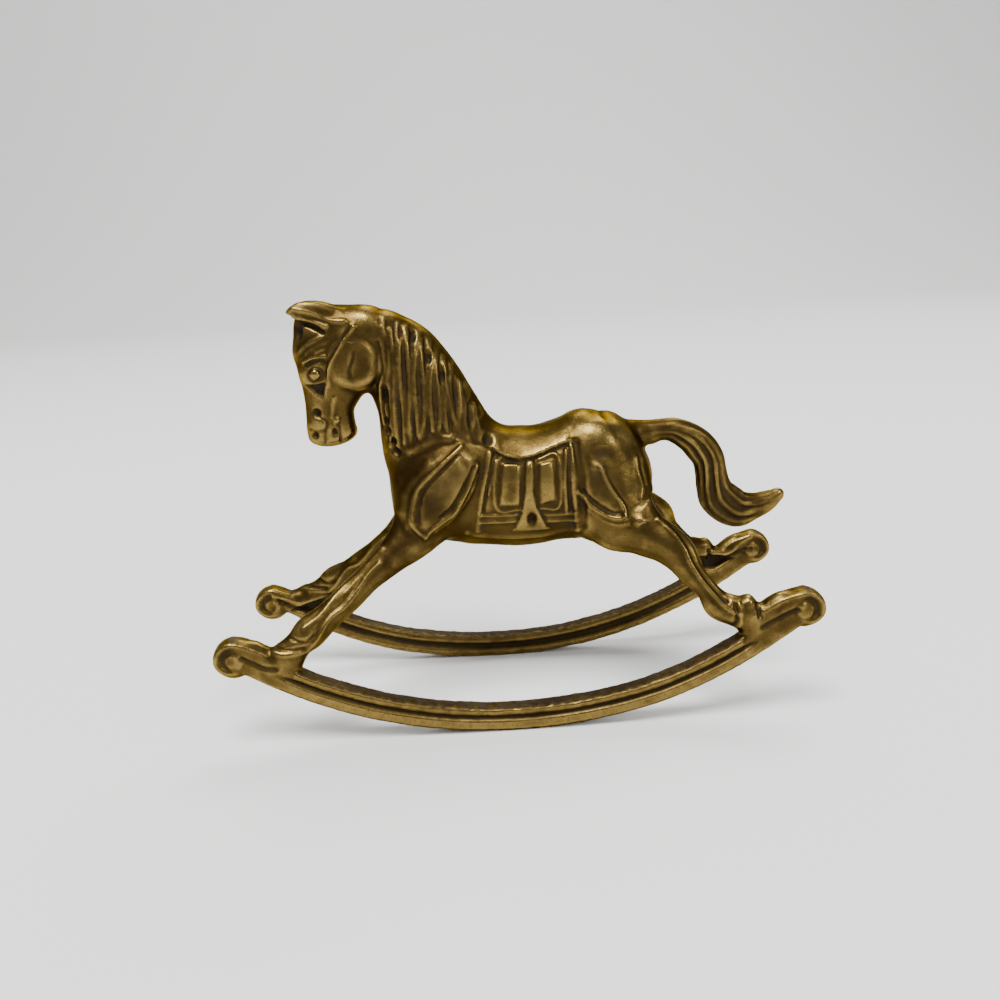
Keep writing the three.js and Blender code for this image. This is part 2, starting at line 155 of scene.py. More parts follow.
# Rounded masses: middle, radii, blend
swells = {
    "rump": ((25.4, 0, 55.1), (7.2, 8.7, 9.6), 1.5),
    "elbow": ((-6.6, -5, 45.3), (5, 4.4, 6.6), 1.2),
    "stifle": ((23.2, -6, 43.6), (6, 5, 6.3), 1.2),
    "aboveCheek": ((-27.9, 0, 79.6), (4.7, 5.5, 4.6), 1.2),
    "brow": ((-36.6, -2.6, 73.3), (3.0, 2.4, 3.4), 1.0),
}
cheek = {"middle": (-28.2, 0, 75.6), "radius": 6.0, "halfWidth": 6.1, "edge": 2.2, "blend": 0.4}


def smoothRows(rows, steps=14):
    # Catmull-Rom through the rows
    rows = np.array(rows, float)
    padded = np.vstack([2 * rows[0] - rows[1], rows, 2 * rows[-1] - rows[-2]])
    t = np.linspace(0, 1, steps, endpoint=False)[:, None]
    out = []
    for i in range(1, len(padded) - 2):
        p0, p1, p2, p3 = padded[i - 1:i + 3]
        bend = (2 * p0 - 5 * p1 + 4 * p2 - p3) * t**2 + (3 * p1 - p0 - 3 * p2 + p3) * t**3
        out.append(0.5 * (2 * p1 + (p2 - p0) * t + bend))
    return np.vstack([*out, rows[-1:]])


def alongCurve(x, z, curve):
    # distance across the curve, overshoot past its ends, and fractional row
    step = np.diff(curve[:, :2], axis=0)
    length = np.linalg.norm(step, axis=1)
    tangent = step / length[:, None]
    best = np.full(x.shape, np.inf)
    across, over, row = np.zeros(x.shape), np.zeros(x.shape), np.zeros(x.shape)
    for i in range(len(step)):
        dx, dz = x - curve[i, 0], z - curve[i, 1]
        s = dx * tangent[i, 0] + dz * tangent[i, 1]
        n = dx * tangent[i, 1] - dz * tangent[i, 0]
        clipped = np.clip(s, 0, length[i])
        extra = s - clipped
        d = n * n + extra * extra
        closer = d < best
        best = np.where(closer, d, best)
        across = np.where(closer, n, across)
        over = np.where(closer, extra, over)
        row = np.where(closer, i + clipped / length[i], row)
    return across, over, row


def smoothMin(a, b, k):
    h = np.maximum(k - np.abs(a - b), 0) / k
    return np.minimum(a, b) - h * h * k * 0.25


class Grid:
    # distances on a block of points; Y runs from the near side to just past the middle
    def __init__(self, voxel):
        self.voxel = voxel
        self.low = np.array([build["front"], -voxel * math.ceil(build["side"] / voxel), build["bottom"]])
        high = (build["back"], voxel * 2, build["top"])
        self.axes = [np.arange(l, h + voxel, voxel) for l, h in zip(self.low, high)]
        self.field = np.full([len(a) for a in self.axes], 50.0, np.float32)     # far from any shape

    def part(self, low, high):
        ends = [(np.searchsorted(a, l), np.searchsorted(a, h)) for a, l, h in zip(self.axes, low, high)]
        return tuple(slice(int(i), max(int(j), int(i) + 1)) for i, j in ends)

    def join(self, part, distance, blend):
        self.field[part] = smoothMin(self.field[part], distance.astype(np.float32), blend)


def addLoft(grid, piece, shift=(0, 0)):
    rows = np.array(piece["rows"], float)
    share = np.linspace(0, 1, len(rows))
    bow = np.sin(np.pi * share ** 1.7) ** 0.7       # shifts the lower half most and leaves the ends in place
    rows[:, 0] += shift[0] * bow
    rows[:, 1] += shift[1] * bow
    curve = smoothRows(rows)
    power = piece.get("power", 2.0)
    margin = build["margin"]
    reach = curve[:, 2].max() + margin
    low = (curve[:, 0].min() - reach, (curve[:, 4] - curve[:, 3]).min() - margin, curve[:, 1].min() - reach)
    high = (curve[:, 0].max() + reach, (curve[:, 4] + curve[:, 3]).max() + margin, curve[:, 1].max() + reach)
    part = grid.part(low, high)
    x, y, z = (grid.axes[i][part[i]] for i in range(3))
    gx, gz = np.meshgrid(x, z, indexing="ij")
    across, over, row = alongCurve(gx, gz, curve)
    index = np.arange(len(curve))
    a, b, yc = (np.interp(row, index, curve[:, k])[:, None, :].astype(np.float32) for k in (2, 3, 4))
    u = np.sqrt(across**2 + (over / piece.get("ends", 1.0)) ** 2)[:, None, :].astype(np.float32)
    v = np.abs(y[None, :, None].astype(np.float32) - yc)
    k1 = np.sqrt((u / a**2) ** 2 + (v / b**2) ** 2) + 1e-6
    k2 = np.sqrt((u / a) ** 2 + (v / b) ** 2) + 1e-6
    k0 = k2 if power == 2 else ((u / a) ** power + (v / b) ** power) ** (1 / power)
    grid.join(part, (k0 - 1) * k2 / k1, piece["blend"])


def addEllipsoid(grid, centre, radii, blend):
    reach = max(radii) + build["margin"]
    part = grid.part([c - reach for c in centre], [c + reach for c in centre])
    x, y, z = (grid.axes[i][part[i]] - centre[i] for i in range(3))
    gx = x[:, None, None] / radii[0]
    gy = y[None, :, None] / radii[1]
    gz = z[None, None, :] / radii[2]
    k0 = np.sqrt(gx**2 + gy**2 + gz**2) + 1e-6
    k1 = np.sqrt((gx / radii[0]) ** 2 + (gy / radii[1]) ** 2 + (gz / radii[2]) ** 2) + 1e-6
    grid.join(part, (k0 - 1) * k0 / k1, blend)


def roundedBox(p, q, rounding):
    p, q = p + rounding, q + rounding
    return np.hypot(np.maximum(p, 0), np.maximum(q, 0)) + np.minimum(np.maximum(p, q), 0) - rounding


def addDisc(grid, centre, radius, halfWidth, rounding, blend):
    reach = np.array([radius, halfWidth, radius]) + build["margin"]
    part = grid.part(centre - reach, centre + reach)
    x, y, z = (grid.axes[i][part[i]] - centre[i] for i in range(3))
    r = np.hypot(x[:, None, None], z[None, None, :]) - radius
    grid.join(part, roundedBox(r, np.abs(y[None, :, None]) - halfWidth, rounding), blend)


def onArc(degrees, radius):
    t = math.radians(degrees)
    return stance["arcX"] + radius * math.sin(t), stance["arcZ"] - radius * math.cos(t)


def railRadiusAt(degrees, side):
    middle, length, amount = bows[side]
    return rocker["railRadius"] + amount * np.exp(-((degrees - middle) / length) ** 2)


def addRocker(grid, side):
    k = rocker
    front, back = railEnds[side]
    x, y, z = grid.axes
    gx, gz = np.meshgrid(x - stance["arcX"], stance["arcZ"] - z, indexing="ij")
    angle = np.degrees(np.arctan2(gx, gz))
    radial = np.abs(np.hypot(gx, gz) - railRadiusAt(angle, side)) - k["railHalfDepth"]
    over = np.radians(np.maximum(angle - back, front - angle)) * k["railRadius"]
    across = np.abs(y - footY) - k["railHalfWidth"]
    rail = roundedBox(np.maximum(radial, over)[:, None, :], across[None, :, None], k["railEdge"])
    grid.join((slice(None),) * 3, rail, k["railBlend"])
    for degrees, radius in volutes[side].values():
        cx, cz = onArc(degrees, radius)
        middle = (cx, footY, cz)
        addDisc(grid, middle, k["voluteRadius"], k["voluteHalfWidth"], k["voluteEdge"], k["voluteBlend"])
    for path in throats[side]:
        rows = [(*row, k["railHalfWidth"], footY) for row in path]
        addLoft(grid, {"blend": k["throatBlend"], "power": k["throatPower"], "rows": rows})
    heelX, heelZ = k["heel"][side]
    addEllipsoid(grid, (heelX, footY, heelZ), k["heelRadii"], k["throatBlend"])


def addSwells(grid, *names):
    for name in names:
        middle, radii, blend = swells[name]
        addEllipsoid(grid, middle, radii, blend)


def sideGrid(side):
    grid = Grid(build["voxel"])
    addLoft(grid, barrel)
    addLoft(grid, neck)
    for leg in (foreLeg, hindLeg):
        addLoft(grid, leg, leg["farShift"] if side == "far" else (0, 0))
    addSwells(grid, "rump", "elbow", "stifle")
    addLoft(grid, poll)
    addLoft(grid, head)
    addSwells(grid, "aboveCheek")
    addDisc(grid, cheek["middle"], cheek["radius"], cheek["halfWidth"], cheek["edge"], cheek["blend"])
    addSwells(grid, "brow")
    addLoft(grid, ear)
    addLoft(grid, tail)
    addRocker(grid, side)
    return grid


def wholeField():
    near, far = sideGrid("near"), sideGrid("far")
    middle = int(round(-near.low[1] / near.voxel))
    field = np.concatenate([near.field[:, :middle + 1], far.field[:, :middle][:, ::-1]], axis=1)
    return field, near.low, near.voxel


def surfaceNet(field, low, voxel):
    # one point in each cell that the surface crosses, one face for each edge that it crosses
    inside = field < 0
    corners = list(product((0, 1), repeat=3))
    n = np.array(field.shape) - 1
    count = sum(inside[i:i + n[0], j:j + n[1], k:k + n[2]].astype(np.int8) for i, j, k in corners)
    cells = np.argwhere((count > 0) & (count < 8))
    index = np.full(n, -1, np.int32)
    index[tuple(cells.T)] = np.arange(len(cells))
    total, crossings = np.zeros((len(cells), 3)), np.zeros(len(cells))
    for a in corners:
        for axis in range(3):
            if a[axis]:
                continue
            b = list(a)
            b[axis] = 1
            fa, fb = field[tuple((cells + a).T)], field[tuple((cells + b).T)]
            cross = (fa < 0) != (fb < 0)
            t = np.where(cross, fa / np.where(cross, fa - fb, 1), 0)
            total += (np.array(a, float) + t[:, None] * (np.array(b) - np.array(a))) * cross[:, None]
            crossings += cross
    points = low + voxel * (cells + total / crossings[:, None])
    faces = []
    for axis in range(3):
        u, v = (axis + 1) % 3, (axis + 2) % 3
        a, b = [slice(1, -1)] * 3, [slice(1, -1)] * 3
        a[axis], b[axis] = slice(0, -1), slice(1, None)
        first, second = inside[tuple(a)], inside[tuple(b)]
        at = np.argwhere(first != second)
        base = at + 1
        base[:, axis] -= 1
        quad = []
        for du, dv in ((0, 0), (-1, 0), (-1, -1), (0, -1)):
            c = base.copy()
            c[:, u] += du
            c[:, v] += dv
            quad.append(index[tuple(c.T)])
        quad = np.stack(quad, 1)
        flip = second[tuple(at.T)]
        quad[flip] = quad[flip][:, ::-1]
        faces.append(quad)
    return points, np.vstack(faces)


def newObject(name, points, edges=(), faces=()):
    mesh = bpy.data.meshes.new(name)
    mesh.from_pydata(np.asarray(points).tolist(), [tuple(e) for e in edges], np.asarray(faces).tolist())
    piece = bpy.data.objects.new(name, mesh)
    bpy.context.scene.collection.objects.link(piece)
    return piece


# Strands: locks of hair, beads along the rails and the volutes' scrolls
mane = {
    "locks": 23,
    "thickness": 0.76,
    "sink": 0.2,            # into the neck
    "sway": 0.6,
    "starts": (0.0, 0.05, 0.02, 0.09),      # the locks start at different heights
    "widths": (1.1, 0.85, 0.98),
    "crest": [(-23.7, 85.2), (-20.9, 84.9), (-17.6, 84.1), (-14.4, 82.2), (-11.3, 79.7), (-8.4, 76.3),
              (-5.4, 72.2), (-2.4, 66.9), (-1, 63.8)],
    "hem": [(-21.4, 63), (-20.4, 58), (-18, 58.4), (-15, 59.6), (-12, 60.8), (-9, 60.8), (-6, 60),
            (-3.8, 59), (-1.2, 58.6)],
}
brightLocks = {"thickness": 1.15, "sink": 0.1, "paths": [
    [(-6.4, 72), (-5.1, 67), (-5, 62.8), (-3.7, 58.8)],
    [(-3.2, 67), (-2.7, 63.4), (-1.6, 59)],
    [(-9.4, 75.6), (-8.9, 71), (-8, 66.9), (-6.6, 61.5)],
]}
behindCheek = {"thickness": 0.7, "sink": 0.2, "paths": [
    [(-23.4, 82), (-21.9, 78), (-21.9, 74), (-23.1, 70.6)],
    [(-22, 83), (-20.6, 78), (-20.7, 73.5), (-22, 69.5), (-22.4, 65)],
]}
forelock = {"thickness": 0.6, "sink": 0.15, "paths": [
    [(-32.4, 81.9), (-35.7, 80.2), (-38.2, 78.8), (-39.5, 77.2)],
    [(-32.9, 80.5), (-36.7, 78.3), (-38.9, 76.2)],
    [(-33.6, 78.9), (-36.6, 77.2), (-38.8, 75.2)],
    [(-32, 83), (-35.4, 81.9), (-38.2, 80.8)],
]}
tailHair = {"strands": 9, "thickness": 0.72, "sink": 0.35, "twist": 0.35, "halfDepth": 3.4}
rimBead = {     # the rim that rolls up into each volute
    "thickness": 0.85,
    "sink": 0.1,
    "lift": 0.9,            # over the middle of the swell
    "start": 100,           # degrees, above the volute's middle
    "curl": 120,            # degrees round before it winds inwards
    "turn": 330,
    "outer": 3.2,           # radius
    "inner": 1.35,
}
farBands = {"thickness": 0.8, "sink": 0.2, "paths": [
    [(-51.8, 17.4), (-48.1, 16.5), (-44.7, 15.5), (-41.2, 16.6), (-37.6, 18)],
    [(52.8, 27), (57.3, 26.6), (60.1, 27), (62.2, 29), (65, 30.8)],
]}


def halfWidthAt(piece, x, z):
    # half width of a loft along Y at x, z, and 0 beside it
    curve = smoothRows(piece["rows"])
    power = piece.get("power", 2.0)
    across, over, row = alongCurve(np.array([x]), np.array([z]), curve)
    a, b, yc = (np.interp(row, np.arange(len(curve)), curve[:, k])[0] for k in (2, 3, 4))
    inside = 1 - (math.hypot(across[0], over[0]) / a) ** power
    return abs(yc) + b * inside ** (1 / power) if inside > 0 else 0.0


def onFlank(x, z, sink=0.0):
    width = max(halfWidthAt(piece, x, z) for piece in (barrel, neck, head, poll, foreLeg))
    return x, -max(width - sink, 0.3), z


def maneStrands():
    crest, hem = smoothRows(mane["crest"]), smoothRows(mane["hem"])
    strands = []
    for i in range(mane["locks"]):
        t = (i + 0.5) / mane["locks"]
        top = crest[round(t * (len(crest) - 1))]
        tip = hem[round(t * (len(hem) - 1))]
        late = mane["starts"][i % len(mane["starts"])]
        width = mane["widths"][i % len(mane["widths"])]
        points = []
        for down in np.linspace(late, 1.0 + 0.04 * math.sin(i * 2.1), 16):
            sway = mane["sway"] * math.sin(down * 5.2 + i * 1.9)
            x, z = top + (tip - top) * down + np.array([sway, 0])
            swell = 1.12 * math.sin(math.pi * (0.03 + 0.84 * down)) ** 0.55
            points.append((*onFlank(x, z, mane["sink"]), mane["thickness"] * swell * width))
        strands.append(points)
    return strands


def pathStrands(piece):
    thickness, sink = piece["thickness"], piece["sink"]
    strands = []
    for path in piece["paths"]:
        curve = smoothRows(path, 6)
        taper = np.sin(np.pi * np.linspace(0.16, 0.9, len(curve)))
        strands.append([(*onFlank(x, z, sink), thickness * s) for (x, z), s in zip(curve, taper)])
    return strands


def tailStrands():
    curve = smoothRows(tail["rows"], 4)[4:-5]
    count, sink = tailHair["strands"], tailHair["sink"]
    strands = []
    for i in range(count):
        angle = math.pi * (i + 0.5) / count       # from the upper edge round the near side to the lower one
        points = []
        for j, (x, z, depth, width, y) in enumerate(curve):
            ahead, behind = curve[min(j + 1, len(curve) - 1)], curve[max(j - 1, 0)]
            along = np.array([ahead[0] - behind[0], ahead[1] - behind[1]])
            along /= np.linalg.norm(along)
            share = j / (len(curve) - 1)
            turn = angle + tailHair["twist"] * math.sin(3.5 * share + i)
            rise = math.cos(turn) * (depth - sink)
            out = math.sin(turn) * (width - sink)
            thick = tailHair["thickness"] * (0.86 + 0.24 * share) * min(1, 3.6 * (1.04 - share))
            thick = thick * depth / tailHair["halfDepth"]
            points.append((x - along[1] * rise, -out, z + along[0] * rise, thick))
        strands.append(points)
    return strands


def railStrands(side):
    # the bead along the rail from hoof to hoof, and the rims that roll up into the volutes
    k = rocker
    face = footY - k["railHalfWidth"]
    strands = []
    angles = np.linspace(*k["beadSpan"], 70)
    bead = [onArc(a, railRadiusAt(a, side) - k["railHalfDepth"] + k["beadDrop"]) for a in angles]
    strands.append([(x, face + k["beadSink"], z, k["beadRadius"]) for x, z in bead])
    if side == "far":
        inner = 2 * footY - face - farBands["sink"]
        strands += [[(x, inner, z, farBands["thickness"]) for x, z in smoothRows(path, 8)]
                    for path in farBands["paths"]]
    large, small, curl = (rimBead[name] for name in ("outer", "inner", "curl"))
    for (degrees, radius), rows in zip(volutes[side].values(), throats[side]):
        cx, cz = onArc(degrees, radius)
        outwards = math.copysign(1, degrees)
        path = [(x, z + rimBead["lift"]) for x, z, _ in rows[:2]]
        for turn in np.linspace(0, rimBead["turn"], 15):
            angle = math.radians(rimBead["start"] - turn)
            r = large + (small - large) * max(0, turn - curl) / (rimBead["turn"] - curl)
            path.append((cx + outwards * r * math.cos(angle), cz + r * math.sin(angle)))
        curve = smoothRows(path, 5)
        share = np.linspace(0, 1, len(curve))
        size = rimBead["thickness"] * np.interp(share, [0, 0.1, 0.5, 1], [0.7, 1, 0.95, 0.7])
        out = footY - k["voluteHalfWidth"] + rimBead["sink"]
        strands.append([(x, out, z, s) for (x, z), s in zip(curve, size)])
        strands.append([(x, 2 * footY - out, z, s) for (x, z), s in zip(curve, size)])
    return strands


def strandTree():
    # polylines with a thickness on each point become closed tubes
    tree = bpy.data.node_groups.new("strands", "GeometryNodeTree")
    face = tree.interface
    face.new_socket("Geometry", in_out="INPUT", socket_type="NodeSocketGeometry")
    scale = face.new_socket("Thickness", in_out="INPUT", socket_type="NodeSocketFloat")
    sides = face.new_socket("Sides", in_out="INPUT", socket_type="NodeSocketInt")
    finish = face.new_socket("Material", in_out="INPUT", socket_type="NodeSocketMaterial")
    face.new_socket("Geometry", in_out="OUTPUT", socket_type="NodeSocketGeometry")
    scale.default_value = 1.0
    sides.default_value = build["strandSides"]
    add = tree.nodes.new
    given, result = add("NodeGroupInput"), add("NodeGroupOutput")
    toCurve, toMesh = add("GeometryNodeMeshToCurve"), add("GeometryNodeCurveToMesh")
    circle, setRadius = add("GeometryNodeCurvePrimitiveCircle"), add("GeometryNodeSetCurveRadius")
    thick, times = add("GeometryNodeInputNamedAttribute"), add("ShaderNodeMath")
    realize, setMaterial = add("GeometryNodeRealizeInstances"), add("GeometryNodeSetMaterial")
    thick.data_type = "FLOAT"
    thick.inputs["Name"].default_value = "thick"
    times.operation = "MULTIPLY"
    circle.inputs["Radius"].default_value = 1.0
    toMesh.inputs["Fill Caps"].default_value = True
    link = tree.links.new
    link(given.outputs["Geometry"], toCurve.inputs["Mesh"])
    link(toCurve.outputs["Curve"], setRadius.inputs["Curve"])
    link(thick.outputs["Attribute"], times.inputs[0])
    link(given.outputs["Thickness"], times.inputs[1])
    link(times.outputs[0], setRadius.inputs["Radius"])
    link(given.outputs["Sides"], circle.inputs["Resolution"])
    link(setRadius.outputs["Curve"], toMesh.inputs["Curve"])
    link(circle.outputs["Curve"], toMesh.inputs["Profile Curve"])
    if "Scale" in toMesh.inputs:
        link(times.outputs[0], toMesh.inputs["Scale"])
    link(toMesh.outputs["Mesh"], realize.inputs["Geometry"])
    link(realize.outputs["Geometry"], setMaterial.inputs["Geometry"])
    link(given.outputs["Material"], setMaterial.inputs["Material"])
    link(setMaterial.outputs["Geometry"], result.inputs["Geometry"])
    return tree, {"Thickness": scale.identifier, "Sides": sides.identifier, "Material": finish.identifier}


def plainMesh(piece):
    # the evaluated mesh without its modifiers
    bpy.context.view_layer.update()
    evaluated = piece.evaluated_get(bpy.context.evaluated_depsgraph_get())
    mesh = bpy.data.meshes.new_from_object(evaluated)
    piece.modifiers.clear()
    piece.data = mesh
    return piece


def makeStrands(finish):
    hair = maneStrands()
    for piece in (brightLocks, behindCheek, forelock):
        hair += pathStrands(piece)
    hair += tailStrands()
    strands = [[(x, y * s, z, r) for x, y, z, r in path] for path in hair for s in (1, -1)]
    combed = KDTree(sum(len(path) for path in strands) * 3)
    for path in strands:
        for point in smoothRows(path, 3)[:-1]:
            combed.insert(point[:3], 0)
    combed.balance()
    strands += railStrands("near")
    strands += [[(x, -y, z, r) for x, y, z, r in path] for path in railStrands("far")]
    points, edges, thick = [], [], []
    for path in strands:
        edges += [(len(points) + i, len(points) + i + 1) for i in range(len(path) - 1)]
        points += [p[:3] for p in path]
        thick += [p[3] for p in path]
    piece = newObject("strands", points, edges)
    piece.data.attributes.new("thick", "FLOAT", "POINT").data.foreach_set("value", thick)
    tree, socket = strandTree()
    modifier = piece.modifiers.new("strands", "NODES")
    modifier.node_group = tree
    modifier[socket["Thickness"]] = 1.0
    modifier[socket["Sides"]] = build["strandSides"]
    modifier[socket["Material"]] = finish
    return plainMesh(piece), combed


def joined(pieces, name):
    # meshes put end to end in one object
    points, faces, start = [], [], 0
    for piece in pieces:
        mesh = piece.data
        points += [tuple(v.co) for v in mesh.vertices]
        faces += [[i + start for i in p.vertices] for p in mesh.polygons]
        start += len(mesh.vertices)
        bpy.data.objects.remove(piece)
    mesh = bpy.data.meshes.new(name)
    mesh.from_pydata(points, [], faces)
    piece = bpy.data.objects.new(name, mesh)
    bpy.context.scene.collection.objects.link(piece)
    return piece


def coordinates(mesh):
    out = np.zeros(len(mesh.vertices) * 3, np.float32)
    mesh.vertices.foreach_get("co", out)
    return out.reshape(-1, 3).astype(float)


def normals(mesh):
    out = np.zeros(len(mesh.vertices) * 3, np.float32)
    mesh.vertices.foreach_get("normal", out)
    return out.reshape(-1, 3).astype(float)


def setCoordinates(mesh, points):
    mesh.vertices.foreach_set("co", points.astype(np.float32).ravel())
    mesh.update()


def edgeEnds(mesh):
    out = np.zeros(len(mesh.edges) * 2, np.int32)
    mesh.edges.foreach_get("vertices", out)
    return out.reshape(-1, 2)


def smoothed(points, edges, passes, strength=0.5):
    a, b = edges[:, 0], edges[:, 1]
    count = np.bincount(a, minlength=len(points)) + np.bincount(b, minlength=len(points))
    for _ in range(passes):
        total = np.stack([
            np.bincount(a, points[b, i], len(points)) + np.bincount(b, points[a, i], len(points))
            for i in range(points.shape[1])
        ], 1)
        points = points + strength * (total / np.maximum(count, 1)[:, None] - points)
    return points


# Lines raised or cut on both flanks: height, half width, points seen from the side
flankLines = {
    "frontBorder": (0.45, 0.5, [(0.3, 56.9), (-0.5, 53.5), (-1.3, 49.3), (-2.1, 43.6), (-2.3, 40.1)]),
    "frontFrame": (0.3, 0.35, [(1.2, 55.5), (0.4, 52.3), (-0.2, 48.5)]),
    "frontShade": (-0.4, 0.3, [(1, 56.4), (0.4, 53), (-0.5, 49), (-1.2, 44.5)]),
    "frameLeft": (0.35, 0.35, [(7, 55.5), (1.8, 55.4), (1.5, 45.4), (6.7, 45.1)]),
    "frameBack": (0.35, 0.35, [(10.3, 55.7), (14.4, 56.4), (15, 46), (11, 45.3)]),
    "backBorder": (0.45, 0.38, [(16.2, 57.6), (15.9, 51.4), (16.4, 44.6)]),
    "backBand": (0.35, 0.5, [(17.3, 58.6), (17.7, 51.4), (18.5, 44.3), (19.1, 40.3)]),
    "backShade": (-0.4, 0.32, [(16.9, 57.6), (16.8, 51.4), (17.4, 44.6)]),
    "hemFront": (0.4, 0.3, [(-1.7, 43.8), (1.7, 43.8), (5.9, 44)]),
    "hemBack": (0.4, 0.3, [(12, 43.9), (15.3, 44), (18.5, 44.3)]),
    "hemFrontLow": (0.4, 0.35, [(-1.8, 42), (1.7, 42.1), (5.5, 42.4)]),
    "hemBackLow": (0.4, 0.35, [(12.6, 42.3), (15.3, 42.3), (18.7, 42.6)]),
    "girth": (0.35, 0.5, [(-4.7, 39.5), (-1.7, 38.7), (5.2, 38.3), (11.3, 38.7), (15.6, 39.6),
                          (19.2, 40.5)]),
    "valley": (-0.55, 0.8, [(18.2, 59), (18.9, 55.6), (19.6, 51.4), (19.6, 47.1), (20, 41.3)]),
    "leafFront": (0.5, 0.42, [(-5.8, 58.6), (-7.9, 56.5), (-10.5, 54.1), (-13.4, 51.3), (-15.1, 48.8),
                              (-16, 45.5), (-16.2, 43.1), (-15.6, 41.5), (-13.6, 39.7)]),
    "leafBack": (0.5, 0.42, [(-2.4, 54.5), (-3.8, 51.4), (-5.5, 48), (-7.2, 45.2), (-9.8, 43.2),
                             (-12.3, 41.3), (-13.6, 39.7)]),
    "leafShade": (-0.4, 0.35, [(-6.6, 56.6), (-9.6, 53.7), (-12.5, 50.8), (-14, 48.6), (-14.8, 45.4),
                               (-15, 43)]),
    "leafShadeBack": (-0.4, 0.35, [(-3.4, 54.3), (-4.8, 51.6), (-6.4, 48.7), (-8, 46.1), (-10.4, 44.1)]),
    "leafOuter": (0.3, 0.4, [(-2.4, 52.6), (-3.6, 49.4), (-5.6, 46), (-8.4, 43.2), (-11.5, 41)]),
    "thighRidge": (0.75, 0.55, [(23.6, 53.7), (24.8, 50.9), (26.4, 48.5), (28.1, 46.1), (28.7, 44.1)]),
    "thighLoop": (0.5, 0.5, [(18.9, 48.8), (20.7, 46.6), (22.7, 45.1), (24.7, 44), (26.8, 43.5),
                             (28.6, 43.8)]),
    "thighShade": (-0.4, 0.4, [(19.8, 49), (21.4, 47.4), (23.4, 45.9), (25.6, 44.8), (27.4, 44.7)]),
    "thighLow": (0.25, 0.5, [(21, 45.2), (24, 43), (27, 42.3), (29, 42.9)]),
    "tailCrease": (0.35, 0.5, [(31.3, 55.5), (31.6, 52.7), (32.4, 49.9), (32, 47.5)]),
    "tailShade": (-0.3, 0.4, [(32.2, 55.6), (32.6, 52.8), (33.3, 50)]),
    "neckBand": (0.3, 0.9, [(-16.6, 57.2), (-13.3, 58.9), (-10.8, 60), (-8.4, 60.2)]),
    "rein": (0.42, 0.4, [(-27.7, 83.2), (-30.4, 79.4), (-32, 76.8), (-33, 74.4), (-33.4, 70.5)]),
    "reinShade": (-0.35, 0.3, [(-28.9, 83), (-31.3, 79.3), (-32.9, 76.7)]),
    "cheekCrease": (-0.28, 0.26, [(-27.8, 77.9), (-28.2, 76.2), (-28.7, 74.6), (-28.6, 72.9)]),
    "cheekShade": (-0.4, 0.35, [(-22.9, 80), (-22.3, 77), (-22.3, 74), (-23.4, 71.4)]),
    "brow": (0.4, 0.4, [(-33.9, 77), (-36.2, 76.7), (-38.3, 75.7)]),
    "browShade": (-0.35, 0.35, [(-34, 76.1), (-36.2, 75.8), (-37.9, 75)]),
    "muzzleUp": (0.35, 0.45, [(-32.3, 68.3), (-32.7, 66.2), (-32.9, 64.2)]),
    "noseLine": (-0.35, 0.3, [(-36, 64.3), (-34.1, 63.1), (-34.5, 61), (-34.6, 58.6)]),
    "chinLine": (-0.45, 0.3, [(-31.6, 62.4), (-31.2, 59)]),
    "lips": (-0.2, 0.3, [(-37.6, 61.4), (-36.2, 61), (-34.8, 61.2)]),
    "earSlot": (-0.9, 0.42, [(-38.8, 83.9), (-36.3, 83.1), (-34.2, 82)]),
    "earRim": (0.4, 0.42, [(-40.2, 85), (-36.9, 84.3), (-33.3, 83.1)]),
    "earRidge": (0.35, 0.45, [(-40.2, 86.6), (-36.5, 85.8), (-33, 84.4), (-29.5, 84.2)]),
    "manePart": (-0.5, 0.45, [(-21.8, 69.4), (-22.4, 66), (-21.9, 62.8), (-21.2, 60.6), (-20.2, 58),
                              (-19.2, 56.4)]),
}
legLines = {
    "foreRear": (0.3, 0.45, [(-23, 35), (-25.6, 32.5), (-29.5, 27.3), (-32.9, 25.1), (-35.8, 20.7),
                             (-37.6, 18.7)]),
    "foreRearShade": (-0.16, 0.45, [(-27, 31.8), (-30.6, 27.9), (-33.8, 25.2), (-36.6, 21.4)]),
    "foreFront": (0.25, 0.45, [(-22.5, 37.6), (-25.6, 35.1), (-28.9, 32.4), (-31.9, 29.3), (-35, 25.7),
                               (-38.2, 23.6)]),
    "cuff": (0.22, 0.5, [(-44.2, 18.9), (-41.8, 18.5), (-38.4, 18.5)]),
    "cuffShade": (-0.3, 0.35, [(-44, 19.8), (-41.6, 19.5), (-38.2, 19.6)]),
    "fetlockShade": (-0.25, 0.4, [(-40.4, 21.6), (-38, 21), (-36, 22)]),
    "hindRidge": (0.42, 0.42, [(35.2, 43.4), (38.1, 41), (40.3, 38), (41.4, 35.4), (43.8, 31.7),
                               (48.2, 26.9), (51, 25.6)]),
    "hindShade": (-0.35, 0.4, [(36.2, 44.2), (39.2, 41.4), (41.4, 38.2), (42.5, 35.4), (44.9, 31.7),
                               (48.3, 28)]),
    "hindCuff": (0.4, 0.45, [(50.8, 27.8), (51.2, 25), (51, 22.8)]),
    "hindCuffShade": (-0.45, 0.35, [(49.9, 27.6), (50.3, 25), (50.1, 23)]),
    "heelNotch": (-0.8, 0.4, [(54.8, 27.4), (55.1, 25.2)]),
}
railLines = {
    "near": {
        "front": (-0.42, 0.45, [(-43.8, 15.6), (-46.4, 15.8), (-49, 17), (-50.8, 18)]),
        "back": (-0.42, 0.45, [(55.8, 22.8), (58.8, 24.5), (61.4, 25.9), (63, 26.5)]),
    },
    "far": {
        "front": (-0.42, 0.45, [(-43.8, 13.8), (-46.2, 14.2), (-48.6, 15.2), (-50.2, 16)]),
        "back": (-0.42, 0.45, [(58.8, 25), (61.4, 26.5), (63.6, 27.5), (65, 27.9)]),
    },
}
coin = (0.42, 1.85)     # height and radius of the boss inside each volute
